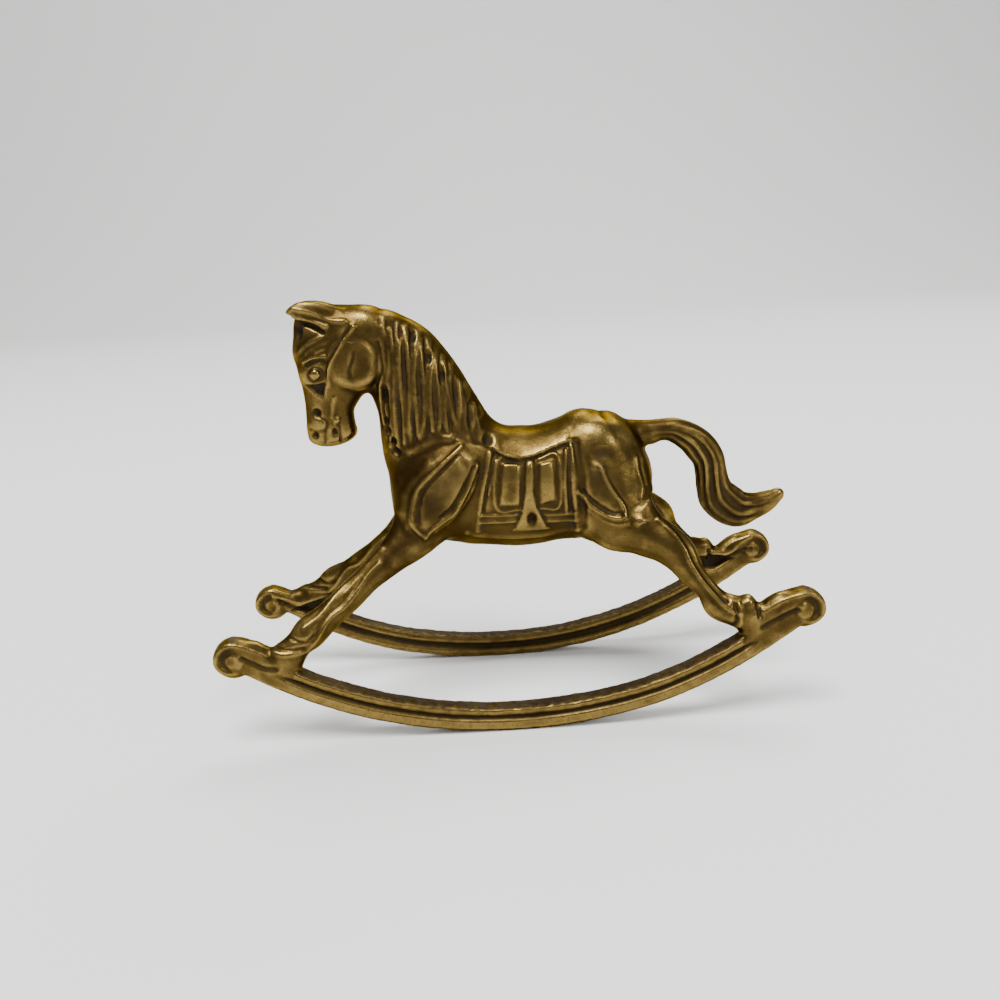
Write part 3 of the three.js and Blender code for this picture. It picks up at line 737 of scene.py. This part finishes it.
flankSteps = {      # the seat stands over the blanket: height above, depth below, edge seen from the side
    "seat": (0.5, -0.6, [(0.2, 58.4), (2.2, 56.9), (4.3, 56.1), (6.8, 55.9), (9.3, 56.3), (11.9, 57.3),
                         (14.4, 58.4), (17.6, 59.6)]),
}
flankPanels = {     # height, width of the slope at the edge, grime, corners
    "frontPanel": (0.55, 0.5, 0, [(2.9, 54.9), (6.6, 54.9), (6.5, 45.9), (2.2, 45.9)]),
    "backPanel": (0.5, 0.5, 0, [(10.6, 54.9), (13.5, 55.5), (14, 47.1), (10.9, 46.2)]),
    "strap": (0.75, 0.5, 0, [(7.5, 55.6), (9.5, 55.8), (9.4, 49.3), (10.2, 45.8), (12.9, 40.5), (5.1, 40.1),
                             (6.8, 44.5), (7.4, 49.3)]),
    "hemStripFront": (0.2, 0.3, 0.15, [(-1.8, 42), (5.6, 42.3), (5.8, 44), (-1.7, 43.8)]),
    "hemStripBack": (0.2, 0.3, 0.15, [(12.4, 42.3), (18.8, 42.6), (18.6, 44.3), (12, 43.9)]),
    "shoulder": (0.9, 2.6, 0, [(-5.4, 59.5), (-9.2, 58.6), (-13.4, 56.3), (-17, 52), (-19, 48.5),
                               (-19.6, 44.6), (-18, 41), (-13, 39), (-7, 41.5), (-2.4, 49.3),
                               (-1.7, 53.5), (-1.8, 56.7)]),
    "leaf": (0.3, 2.0, 0.38, [(-6.6, 57.4), (-10.5, 53.4), (-13.4, 50.6), (-15.2, 46), (-15.4, 42.6),
                              (-13.4, 41), (-9.8, 44.2), (-6.4, 48.2), (-3.8, 53)]),
    "thigh": (0.25, 2.0, 0.42, [(19.8, 55.6), (22, 57.4), (25.4, 57.6), (26.6, 53), (27.6, 47),
                                (25.6, 45.2), (21.8, 46.9), (19.9, 49.4)]),
    "underEye": (-1.0, 0.35, 1, [(-38.2, 70.9), (-36, 71), (-34.1, 71.5), (-34.6, 68.4), (-36.4, 69.5)]),
}
innerPockets = {    # cut in the faces that the two rails turn to each other
    "front": (-1.5, 1.0, 1, [(-47.4, 13.6), (-43.3, 15.4), (-37.6, 17.2), (-38.4, 14.2), (-43.4, 12.2)]),
    "back": (-1.6, 1.1, 1, [(52.4, 26.0), (56.7, 26.2), (61.4, 25.4), (57, 22.6), (53.6, 22.4)]),
}
flankSpots = {      # height, radius, radius upwards, grime, place
    "eye": (0.62, 1.15, 1.15, 0, (-36, 73.2)),
    "nostril": (-1.0, 0.85, 0.8, 0.9, (-36.2, 65)),
    "mouth": (-0.8, 0.6, 0.6, 0.9, (-36.7, 60.2)),
    "chin": (-0.8, 0.5, 0.75, 0.9, (-32.4, 60.9)),
    "muzzleBump": (0.5, 0.8, 0.8, 0, (-32, 63.4)),
    "earHole": (-1.0, 0.8, 1.5, 1, (-39.3, 82.2)),
    "stirrupHole": (-1.3, 0.85, 1.15, 1, (9.1, 43.1)),
    "hipDimple": (-0.6, 1.9, 1.4, 0.55, (23.6, 56.8)),
    "hipBright": (0.6, 1.5, 1.2, 0, (22.9, 54.1)),
    "kneeBlob": (0.5, 1.3, 1.1, 0, (31.5, 43.2)),
    "throat": (-0.9, 0.8, 1.7, 1, (-21.9, 69.2)),
    "pocketOne": (-0.8, 0.55, 0.9, 0.9, (-21.7, 63.3)),
    "pocketTwo": (-0.8, 0.6, 0.8, 0.9, (-21.2, 61.2)),
    "pocketThree": (-0.9, 0.8, 0.7, 1, (-20.3, 59.2)),
    "pocketFour": (-0.9, 0.9, 0.7, 1, (-19.5, 57)),
    "crestPocketOne": (-0.9, 0.5, 1.0, 1, (-15.6, 81)),
    "crestPocketTwo": (-0.9, 0.5, 1.1, 1, (-12.3, 76.7)),
    "crestPocketThree": (-0.7, 0.45, 1.3, 0.8, (-18.2, 82)),
    "crestPocketFour": (-0.7, 0.45, 1.2, 0.7, (-9.6, 73)),
    "maneEnd": (-0.9, 0.9, 1.1, 1, (-0.2, 59.6)),
}


def distanceToPath(x, z, points):
    points = np.array(points, float)
    best = np.full(x.shape, np.inf)
    for a, b in zip(points[:-1], points[1:]):
        d = b - a
        t = np.clip(((x - a[0]) * d[0] + (z - a[1]) * d[1]) / (d @ d), 0, 1)
        best = np.minimum(best, np.hypot(x - a[0] - t * d[0], z - a[1] - t * d[1]))
    return best


def around(x, z, points, margin):
    # the points near a path, so that the rest need no distances
    low, high = np.min(points, 0) - margin, np.max(points, 0) + margin
    return np.nonzero((x > low[0]) & (x < high[0]) & (z > low[1]) & (z < high[1]))[0]


def insideDistance(x, z, corners):
    # how far inside a panel, below 0 outside it
    inside = np.zeros(x.shape, bool)
    ring = corners + corners[:1]
    for (ax, az), (bx, bz) in zip(ring[:-1], ring[1:]):
        cross = (az > z) != (bz > z)
        at = ax + (z - az) / (bz - az if bz != az else 1e-9) * (bx - ax)
        inside ^= cross & (x < at)
    d = distanceToPath(x, z, ring)
    return np.where(inside, d, -d)


def smoothStep(low, high, value):
    t = np.clip((value - low) / (high - low), 0, 1)
    return t * t * (3 - 2 * t)


def addLines(height, x, z, lines):
    for rise, width, path in lines.values():
        near = around(x, z, path, 3 * width)
        d = distanceToPath(x[near], z[near], smoothRows(path, 5)) / width
        height[near] += rise * np.exp(-np.abs(d) ** 2.4)


def addPanels(height, grime, x, z, panels):
    for rise, slope, dirt, corners in panels.values():
        near = around(x, z, corners, 1)
        share = smoothStep(-0.25, slope, insideDistance(x[near], z[near], corners))
        height[near] += rise * share
        grime[near] = np.maximum(grime[near], dirt * share)


def railPlace(points):
    # height across the rail, downwards from its middle, and degrees along it
    x, y, z = points.T
    angle = np.degrees(np.arctan2(x - stance["arcX"], stance["arcZ"] - z))
    middle = np.where(y < 0, railRadiusAt(angle, "near"), railRadiusAt(angle, "far"))
    return np.hypot(x - stance["arcX"], stance["arcZ"] - z) - middle, angle


def relief(points, outward):
    x, y, z = points.T
    side = np.abs(outward[:, 1])
    facing = smoothStep(0.1, 0.45, side) * (np.sign(outward[:, 1]) == np.sign(y))
    onHorse = np.where(np.abs(y) > 13.8, 0, facing)
    height, grime = np.zeros(len(points)), np.zeros(len(points))
    addLines(height, x, z, flankLines)
    addPanels(height, grime, x, z, flankPanels)
    for above, below, path in flankSteps.values():
        near = around(x, z, path, 5)
        curve = smoothRows(path, 5)
        d = distanceToPath(x[near], z[near], curve)
        over = z[near] > np.interp(x[near], curve[:, 0], curve[:, 1])
        within = smoothStep(0, 1.5, x[near] - curve[0, 0]) * smoothStep(0, 1.5, curve[-1, 0] - x[near])
        dip = below * np.exp(-(d / 1.1) ** 2) * smoothStep(0, 0.35, d)
        step = np.where(over, above * np.exp(-d / 2), dip)
        height[near] += step * within
    for rise, wide, tall, dirt, (sx, sz) in flankSpots.values():
        near = around(x, z, [(sx, sz)], 3 * max(wide, tall))
        d = np.hypot((x[near] - sx) / wide, (z[near] - sz) / tall)
        height[near] += rise * (np.sqrt(np.clip(1 - d**2, 0, 1)) if rise > 0.6 else np.exp(-d**3))
        grime[near] = np.maximum(grime[near], dirt * np.exp(-(d / 1.05) ** 6))
    eyeX, eyeZ = flankSpots["eye"][-1]
    ring = np.hypot(x - eyeX, z - eyeZ)
    height -= 0.3 * np.exp(-((ring - 1.55) / 0.3) ** 2)     # hollow round the eye
    height *= onHorse
    grime *= onHorse
    legs = np.zeros(len(points))
    addLines(legs, x, z, legLines)
    height += legs * smoothStep(0.2, 0.5, side)
    # the rails' sides and the volutes
    radial, angle = railPlace(points)
    flat = smoothStep(17.5, 18.2, np.abs(y)) * smoothStep(0.6, 0.85, side)
    between = smoothStep(-27, -24, angle) * smoothStep(34, 31, angle)
    outer = flat * (np.abs(y) > 21)
    inner = flat * (np.abs(y) < 21)
    groove = np.exp(-((radial + 0.42) / 0.34) ** 2)
    band = 0.32 * smoothStep(-0.2, 0.2, radial) * smoothStep(2.2, 1.8, radial)
    height += outer * between * (-0.55 * groove + band)
    grime = np.maximum(grime, 0.75 * outer * between * groove)
    deep = np.exp(-(np.abs(radial + 0.1) / 0.75) ** 3)
    height -= 0.8 * inner * between * deep
    grime = np.maximum(grime, 0.8 * inner * between * deep)
    for rail in ("near", "far"):
        here = flat * (y < 0 if rail == "near" else y > 0)
        shade = np.zeros(len(points))
        addLines(shade, x, z, railLines[rail])
        for degrees, radius in volutes[rail].values():
            cx, cz = onArc(degrees, radius)
            d = np.hypot(x - cx + math.copysign(0.3, degrees), z - cz + 0.2) / coin[1]
            shade += coin[0] * np.sqrt(np.clip(1 - d**4, 0, 1))
        height += here * shade
        grime = np.maximum(grime, here * np.clip(-1.2 * shade, 0, 0.8))
    pockets, dirt = np.zeros(len(points)), np.zeros(len(points))
    addPanels(pockets, dirt, x, z, innerPockets)
    height += pockets * inner
    grime = np.maximum(grime, dirt * inner)
    return height, grime


def hairGrooves(points, combed):
    # channels between the strands of the mane and the tail
    x, y, z = points.T
    crest, hem = smoothRows(mane["crest"]), smoothRows(mane["hem"])
    border = [tuple(p) for p in crest[::6]] + [tuple(p) for p in hem[::-6]]
    inMane = smoothStep(-0.3, 1.0, insideDistance(x, z, border)) * (np.abs(y) > 2.2)
    inTail = smoothStep(35, 38, x) * smoothStep(64, 61, x) * (np.abs(y) < 6) * (z > 38)
    depth = np.zeros(len(points))
    for i in np.nonzero(np.maximum(inMane, inTail) > 0)[0]:
        depth[i] = combed.find(points[i])[2]
    channel = smoothStep(0.55, 1.1, depth) * np.maximum(inMane, inTail)
    return channel


hashPrimes = (73856093, 19349663, 83492791)      # one per axis
casting = {     # unevenness: size, height and seed of each layer
    "lumps": [(5.0, 0.15, 3), (2.2, 0.07, 5), (0.9, 0.05, 7)],
    "grains": [(1.1, 0.3, 9), (0.6, 0.2, 11)],
}


def lattice(points, size, seed):
    # smooth noise from a hashed lattice, the same on every run
    p = points / size
    i = np.floor(p).astype(np.int64)
    f = p - i
    f = f * f * (3 - 2 * f)
    out = 0
    for corner in product((0, 1), repeat=3):
        n, weight = seed * 2654435761, 1
        for axis, (step, prime) in enumerate(zip(corner, hashPrimes)):
            n = n ^ (i[:, axis] + step) * prime
            weight = weight * (f[:, axis] if step else 1 - f[:, axis])
        n = (n ^ (n >> 13)) * 1274126177
        value = ((n ^ (n >> 16)) & 65535) / 65535.0
        out = out + weight * value
    return out - 0.5


def layered(points, layers):
    return sum(height * lattice(points, size, seed) for size, height, seed in layers)


def castRoughness(points, outward):
    # uneven casting: soft lumps everywhere, granular rail tops, a ragged edge of flash under the far rail
    x, y, z = points.T
    radial, angle = railPlace(points)
    onRail = smoothStep(3.6, 2.6, np.abs(np.abs(y) + footY)) * smoothStep(3.4, 2.6, np.abs(radial))
    lumps, grains = layered(points, casting["lumps"]), layered(points, casting["grains"])
    topFace = onRail * smoothStep(1.5, 2.1, -radial) * smoothStep(0.45, 0.75, outward[:, 2])
    underside = onRail * smoothStep(1.6, 2.3, radial)
    flash = underside * (y > 0) * smoothStep(23, 27, angle) * smoothStep(36, 33, angle)
    ragged = np.maximum(lattice(points * np.array([1, 0.2, 1]), 1.6, 21), -0.1) * 0.4
    height = lumps + grains * (0.55 * topFace + 0.35 * underside) + flash * ragged
    return height, topFace


def intoFrame(points):
    # leans the drawing back about the arc's centre and sets it on the CAD's contact line
    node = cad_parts["rocking_horse"].data
    corners = coordinates(node)
    touching = corners[corners[:, 2] < corners[:, 2].min() + 2e-5]
    touchX = (touching[:, 0].min() + touching[:, 0].max()) / 2
    c, s = math.cos(math.radians(stance["lean"])), math.sin(math.radians(stance["lean"]))
    x, y, z = points[..., 0] - stance["arcX"], points[..., 1], points[..., 2] - stance["arcZ"]
    turned = np.stack([c * x + s * z, y, -s * x + c * z], -1) * mm
    return turned + np.array([touchX, 0, stance["arcRadius"] * mm])


def keepInside(points):
    return np.clip(points, np.array(cadLow), np.array(cadHigh))


brass = {
    # bright: rubbed ridges, partly a painted highlight
    "rubbedBrightAndHighlight": (0.25, 0.168, 0.048),
    "body": (0.086, 0.055, 0.014),
    "brown": (0.044, 0.0255, 0.0072),
    # soot: patina in hollows, and painted shade on faces turned downwards
    "sootAndShade": (0.011, 0.0065, 0.0035),
    "edge": (0.52, 0.45, 0.31),
    "roughness": 0.3,
    # noise: scale, detail, roughness
    "blotches": (70, 4, 0.55),
    "wearAndPaintedLight": (520, 5, 0.65),
    "speckles": (900, 4, 0.6),
    "pits": (2100, 4, 0.6),
    "bumps": (1400, 3, 0.6),
}


def agedBrass():
    material = bpy.data.materials.new("agedBrass")
    material.use_nodes = True
    tree = material.node_tree
    tree.nodes.clear()
    add, link = tree.nodes.new, tree.links.new
    surface, shader = add("ShaderNodeOutputMaterial"), add("ShaderNodeBsdfPrincipled")
    link(shader.outputs[0], surface.inputs["Surface"])
    place = add("ShaderNodeTexCoord").outputs["Object"]

    def noise(scale, detail, rough):
        node = add("ShaderNodeTexNoise")
        node.inputs["Scale"].default_value = scale
        node.inputs["Detail"].default_value = detail
        node.inputs["Roughness"].default_value = rough
        link(place, node.inputs["Vector"])
        return node.outputs["Fac"]

    def remap(value, low, high, toLow=0.0, toHigh=1.0):
        node = add("ShaderNodeMapRange")
        for name, number in zip(("From Min", "From Max", "To Min", "To Max"), (low, high, toLow, toHigh)):
            node.inputs[name].default_value = number
        link(value, node.inputs["Value"])
        return node.outputs["Result"]

    def calculate(operation, first, second):
        node = add("ShaderNodeMath")
        node.operation = operation
        node.use_clamp = True
        for socket, value in zip(node.inputs, (first, second)):
            if isinstance(value, float):
                socket.default_value = value
            else:
                link(value, socket)
        return node.outputs[0]

    def mix(fac, first, second):
        node = add("ShaderNodeMix")
        node.data_type = "RGBA"
        link(fac, node.inputs["Factor"])
        sockets = [s for s in node.inputs if s.type == "RGBA"]
        for socket, value in zip(sockets, (first, second)):
            if isinstance(value, tuple):
                socket.default_value = (*value, 1)
            else:
                link(value, socket)
        return [s for s in node.outputs if s.type == "RGBA"][0]

    def attribute(name):
        node = add("ShaderNodeAttribute")
        node.attribute_name = name
        return node.outputs["Fac"]

    # hollow: patina in hollows and painted shade underneath; worn: rubbed wear and a painted highlight on
    # ridges
    hollowAndUnderShade, wornAndHighlight, grain = attribute("hollowAndUnderShade"), attribute("wornAndHighlight"), attribute("grain")
    broad, fine = noise(*brass["blotches"]), noise(*brass["wearAndPaintedLight"])
    blotch = remap(broad, 0.4, 0.62)
    metal = mix(blotch, brass["body"], brass["brown"])
    # ridges mixed towards the bright colour: rubbed wear and partly a painted highlight
    metal = mix(calculate("MULTIPLY", wornAndHighlight, remap(fine, 0.2, 0.6, 0.6, 1.0)), metal, brass["rubbedBrightAndHighlight"])
    speckle = calculate("MULTIPLY", grain, remap(noise(*brass["speckles"]), 0.36, 0.6, 0.25, 0.8))
    pitting = remap(noise(*brass["pits"]), 0.55, 0.72, 0.0, 0.55)
    # the soot in hollows is patina; on faces turned downwards it is painted shade
    grime = calculate("MAXIMUM", calculate("MULTIPLY", hollowAndUnderShade, remap(fine, 0.25, 0.6, 0.75, 1.0)), speckle)
    grime = calculate("MAXIMUM", grime, pitting)
    colour = mix(grime, metal, brass["sootAndShade"])
    link(colour, shader.inputs["Base Color"])
    shader.inputs["Specular Tint"].default_value = (*brass["edge"], 1)
    link(remap(grime, 0.25, 0.9, 1.0, 0.25), shader.inputs["Metallic"])
    dirty = remap(grime, 0.0, 0.8, brass["roughness"], 0.62)
    rough = calculate("ADD", dirty, remap(blotch, 0.0, 1.0, 0.0, 0.12))
    link(calculate("SUBTRACT", rough, remap(wornAndHighlight, 0.2, 1.0, 0.0, 0.1)), shader.inputs["Roughness"])
    bump = add("ShaderNodeBump")
    bump.inputs["Distance"].default_value = 0.0002
    small = calculate("MULTIPLY", noise(*brass["bumps"]), 0.4)
    pits = calculate("ADD", calculate("MULTIPLY", fine, 0.6), small)
    link(pits, bump.inputs["Height"])
    link(remap(grain, 0.0, 1.0, 0.55, 1.0), bump.inputs["Strength"])
    link(bump.outputs["Normal"], shader.inputs["Normal"])
    return material


def makeHorse():
    finish = agedBrass()
    field, low, voxel = wholeField()
    points, faces = surfaceNet(field, low, voxel)
    print("modelled body", len(points))
    body = newObject("body", points, faces=faces)
    strands, combed = makeStrands(finish)
    print("strands", len(strands.data.vertices))
    horse = joined([body, strands], "rocking_horse_casting")
    remesh = horse.modifiers.new("skin", "REMESH")
    remesh.mode = "VOXEL"
    remesh.voxel_size = build["remesh"]
    plainMesh(horse)
    print("joined skin", len(horse.data.vertices))
    mesh = horse.data
    edges = edgeEnds(mesh)
    points = smoothed(coordinates(mesh), edges, build["soften"])
    setCoordinates(mesh, points)
    outward = normals(mesh)
    rough, grain = castRoughness(points, outward)
    carved, grime = relief(points, outward)
    channel = hairGrooves(points, combed)
    points = points + outward * (carved + rough - build["hairDepth"] * channel)[:, None]
    points = smoothed(points, edges, 1, 0.25)
    setCoordinates(mesh, points)
    grime = np.maximum(grime, build["hairGrime"] * channel)
    for name, values in (("grime", grime), ("grain", grain)):
        mesh.attributes.new(name, "FLOAT", "POINT").data.foreach_set("value", values.astype(np.float32))
    print("relief")
    thin = horse.modifiers.new("thin", "DECIMATE")
    thin.ratio = min(1.0, build["triangles"] / (2.0 * len(mesh.polygons)))
    thin.use_collapse_triangulate = True
    plainMesh(horse)
    mesh = horse.data
    print("triangles", len(mesh.polygons))
    markWearAndPaintedLight(mesh)
    setCoordinates(mesh, keepInside(intoFrame(coordinates(mesh))))
    mesh.shade_smooth()
    mesh.materials.clear()
    mesh.materials.append(finish)
    return horse


def readAttribute(mesh, name):
    out = np.zeros(len(mesh.vertices), np.float32)
    mesh.attributes[name].data.foreach_get("value", out)
    return out.astype(float)


wearAndPaintedLight = {    # under or over a smoothed copy: where it starts to show, where it is full, and its share
    "nearPasses": 6,
    "widePasses": 40,
    "hollowNear": (0.02, 0.14, 0.85),
    "hollowWide": (0.1, 0.7, 0.7),
    # ridges: rubbed wear, also brightened as a painted highlight
    "wornAndHighlightNear": (0.015, 0.1, 0.85),
    "wornAndHighlightWide": (0.15, 0.7, 0.35),
    # painted shade on faces turned downwards
    "underside": 0.12,
}


def wearShare(name, value):
    start, full, share = wearAndPaintedLight[name]
    return smoothStep(start, full, value) * share


def markWearAndPaintedLight(mesh):
    # hollows hold grime and ridges are rubbed bright, found by comparing with a smoothed copy; the ridges'
    # brightening is partly a painted highlight, and faces turned downwards get painted shade
    points, outward, edges = coordinates(mesh), normals(mesh), edgeEnds(mesh)
    near = ((smoothed(points, edges, wearAndPaintedLight["nearPasses"]) - points) * outward).sum(1)
    wide = ((smoothed(points, edges, wearAndPaintedLight["widePasses"]) - points) * outward).sum(1)
    # faces turned downwards, darkened below as painted shade
    down = smoothStep(-0.1, -0.95, outward[:, 2])
    # patina in hollows, plus painted shade underneath
    hollowAndUnderShade = wearShare("hollowNear", near) + wearShare("hollowWide", wide) + wearAndPaintedLight["underside"] * down
    hollowAndUnderShade = np.maximum(hollowAndUnderShade, readAttribute(mesh, "grime"))
    # ridges rubbed bright: real wear and partly a painted highlight
    wornAndHighlight = wearShare("wornAndHighlightNear", -near) + wearShare("wornAndHighlightWide", -wide)
    both = smoothed(np.stack([np.clip(hollowAndUnderShade, 0, 1), np.clip(wornAndHighlight, 0, 1)], 1), edges, 1)
    for name, values in (("hollowAndUnderShade", both[:, 0]), ("wornAndHighlight", both[:, 1])):
        mesh.attributes.new(name, "FLOAT", "POINT").data.foreach_set("value", values.astype(np.float32))


view = {
    "focal": 1019,          # pixels of a 1000 pixel frame
    "pitch": 13.01,
    "yaw": 2.69,
    "place": (-7.54, -218.85, 95.55),
}


def makeCamera():
    data = bpy.data.cameras.new("camera")
    data.sensor_width = 36
    data.lens = view["focal"] / 1000 * data.sensor_width
    data.clip_start, data.clip_end = 0.01, 20
    pitch, yaw = math.radians(view["pitch"]), math.radians(view["yaw"])
    ahead = Vector((math.sin(yaw) * math.cos(pitch), math.cos(yaw) * math.cos(pitch), -math.sin(pitch)))
    turn = ahead.to_track_quat("-Z", "Y").to_matrix()
    place = np.array(view["place"], float)
    corners = np.array([place] + [place + np.array(turn.col[i]) for i in range(3)])
    moved = intoFrame(corners)
    axes = [Vector((moved[i + 1] - moved[0]) / mm) for i in range(3)]
    camera = bpy.data.objects.new("camera", data)
    bpy.context.scene.collection.objects.link(camera)
    camera.matrix_world = Matrix.Translation(Vector(moved[0])) @ Matrix(axes).transposed().to_4x4()
    bpy.context.scene.camera = camera


studio = {
    "world": 0.42,
    "floorColour": (0.9, 0.9, 0.89),
    "floorHalf": 4.0,
    "floorFlat": 1.6,       # behind the horse, before it sweeps up
    "floorBend": 0.9,
    "wallTop": 3.0,
    "lamps": {      # place, size, power; all aimed at the middle of the horse
        "overhead": ((-0.35, -0.75, 2.0), 1.15, 64.0),
        "window": ((1.3, -1.5, 1.2), 0.8, 15.0),
        "behind": ((0.5, 1.3, 1.9), 1.4, 30.0),
    },
}


def makeStudio():
    world = bpy.data.worlds.new("studio")
    world.use_nodes = True
    sky = world.node_tree.nodes["Background"]
    sky.inputs["Color"].default_value = (1, 1, 1, 1)
    sky.inputs["Strength"].default_value = studio["world"]
    bpy.context.scene.world = world
    aim = Vector((0, 0, 0.045))
    for name, (place, size, power) in studio["lamps"].items():
        light = bpy.data.lights.new(name, "AREA")
        light.shape = "DISK"
        light.size = size
        light.energy = power
        lamp = bpy.data.objects.new(name, light)
        lamp.location = Vector(place)
        lamp.rotation_mode = "QUATERNION"
        lamp.rotation_quaternion = (aim - lamp.location).to_track_quat("-Z", "Y")
        bpy.context.scene.collection.objects.link(lamp)
    # a floor that sweeps up behind
    half, flat, bend = studio["floorHalf"], studio["floorFlat"], studio["floorBend"]
    rows = [(-half, 0.0), (flat, 0.0)]
    for a in np.linspace(0.1, math.pi / 2, 16):
        rows.append((flat + bend * math.sin(a), bend - bend * math.cos(a)))
    rows.append((flat + bend, studio["wallTop"]))
    points = [(x, y, z) for y, z in rows for x in (-half, half)]
    faces = [(2 * i, 2 * i + 1, 2 * i + 3, 2 * i + 2) for i in range(len(rows) - 1)]
    floor = newObject("floor", points, faces=faces)
    floor.data.shade_smooth()
    paper = bpy.data.materials.new("paper")
    paper.use_nodes = True
    shader = paper.node_tree.nodes["Principled BSDF"]
    shader.inputs["Base Color"].default_value = (*studio["floorColour"], 1)
    shader.inputs["Roughness"].default_value = 0.9
    floor.data.materials.append(paper)


makeCamera()
horse = makeHorse()
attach(horse, "root")
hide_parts("rocking_horse")
makeStudio()
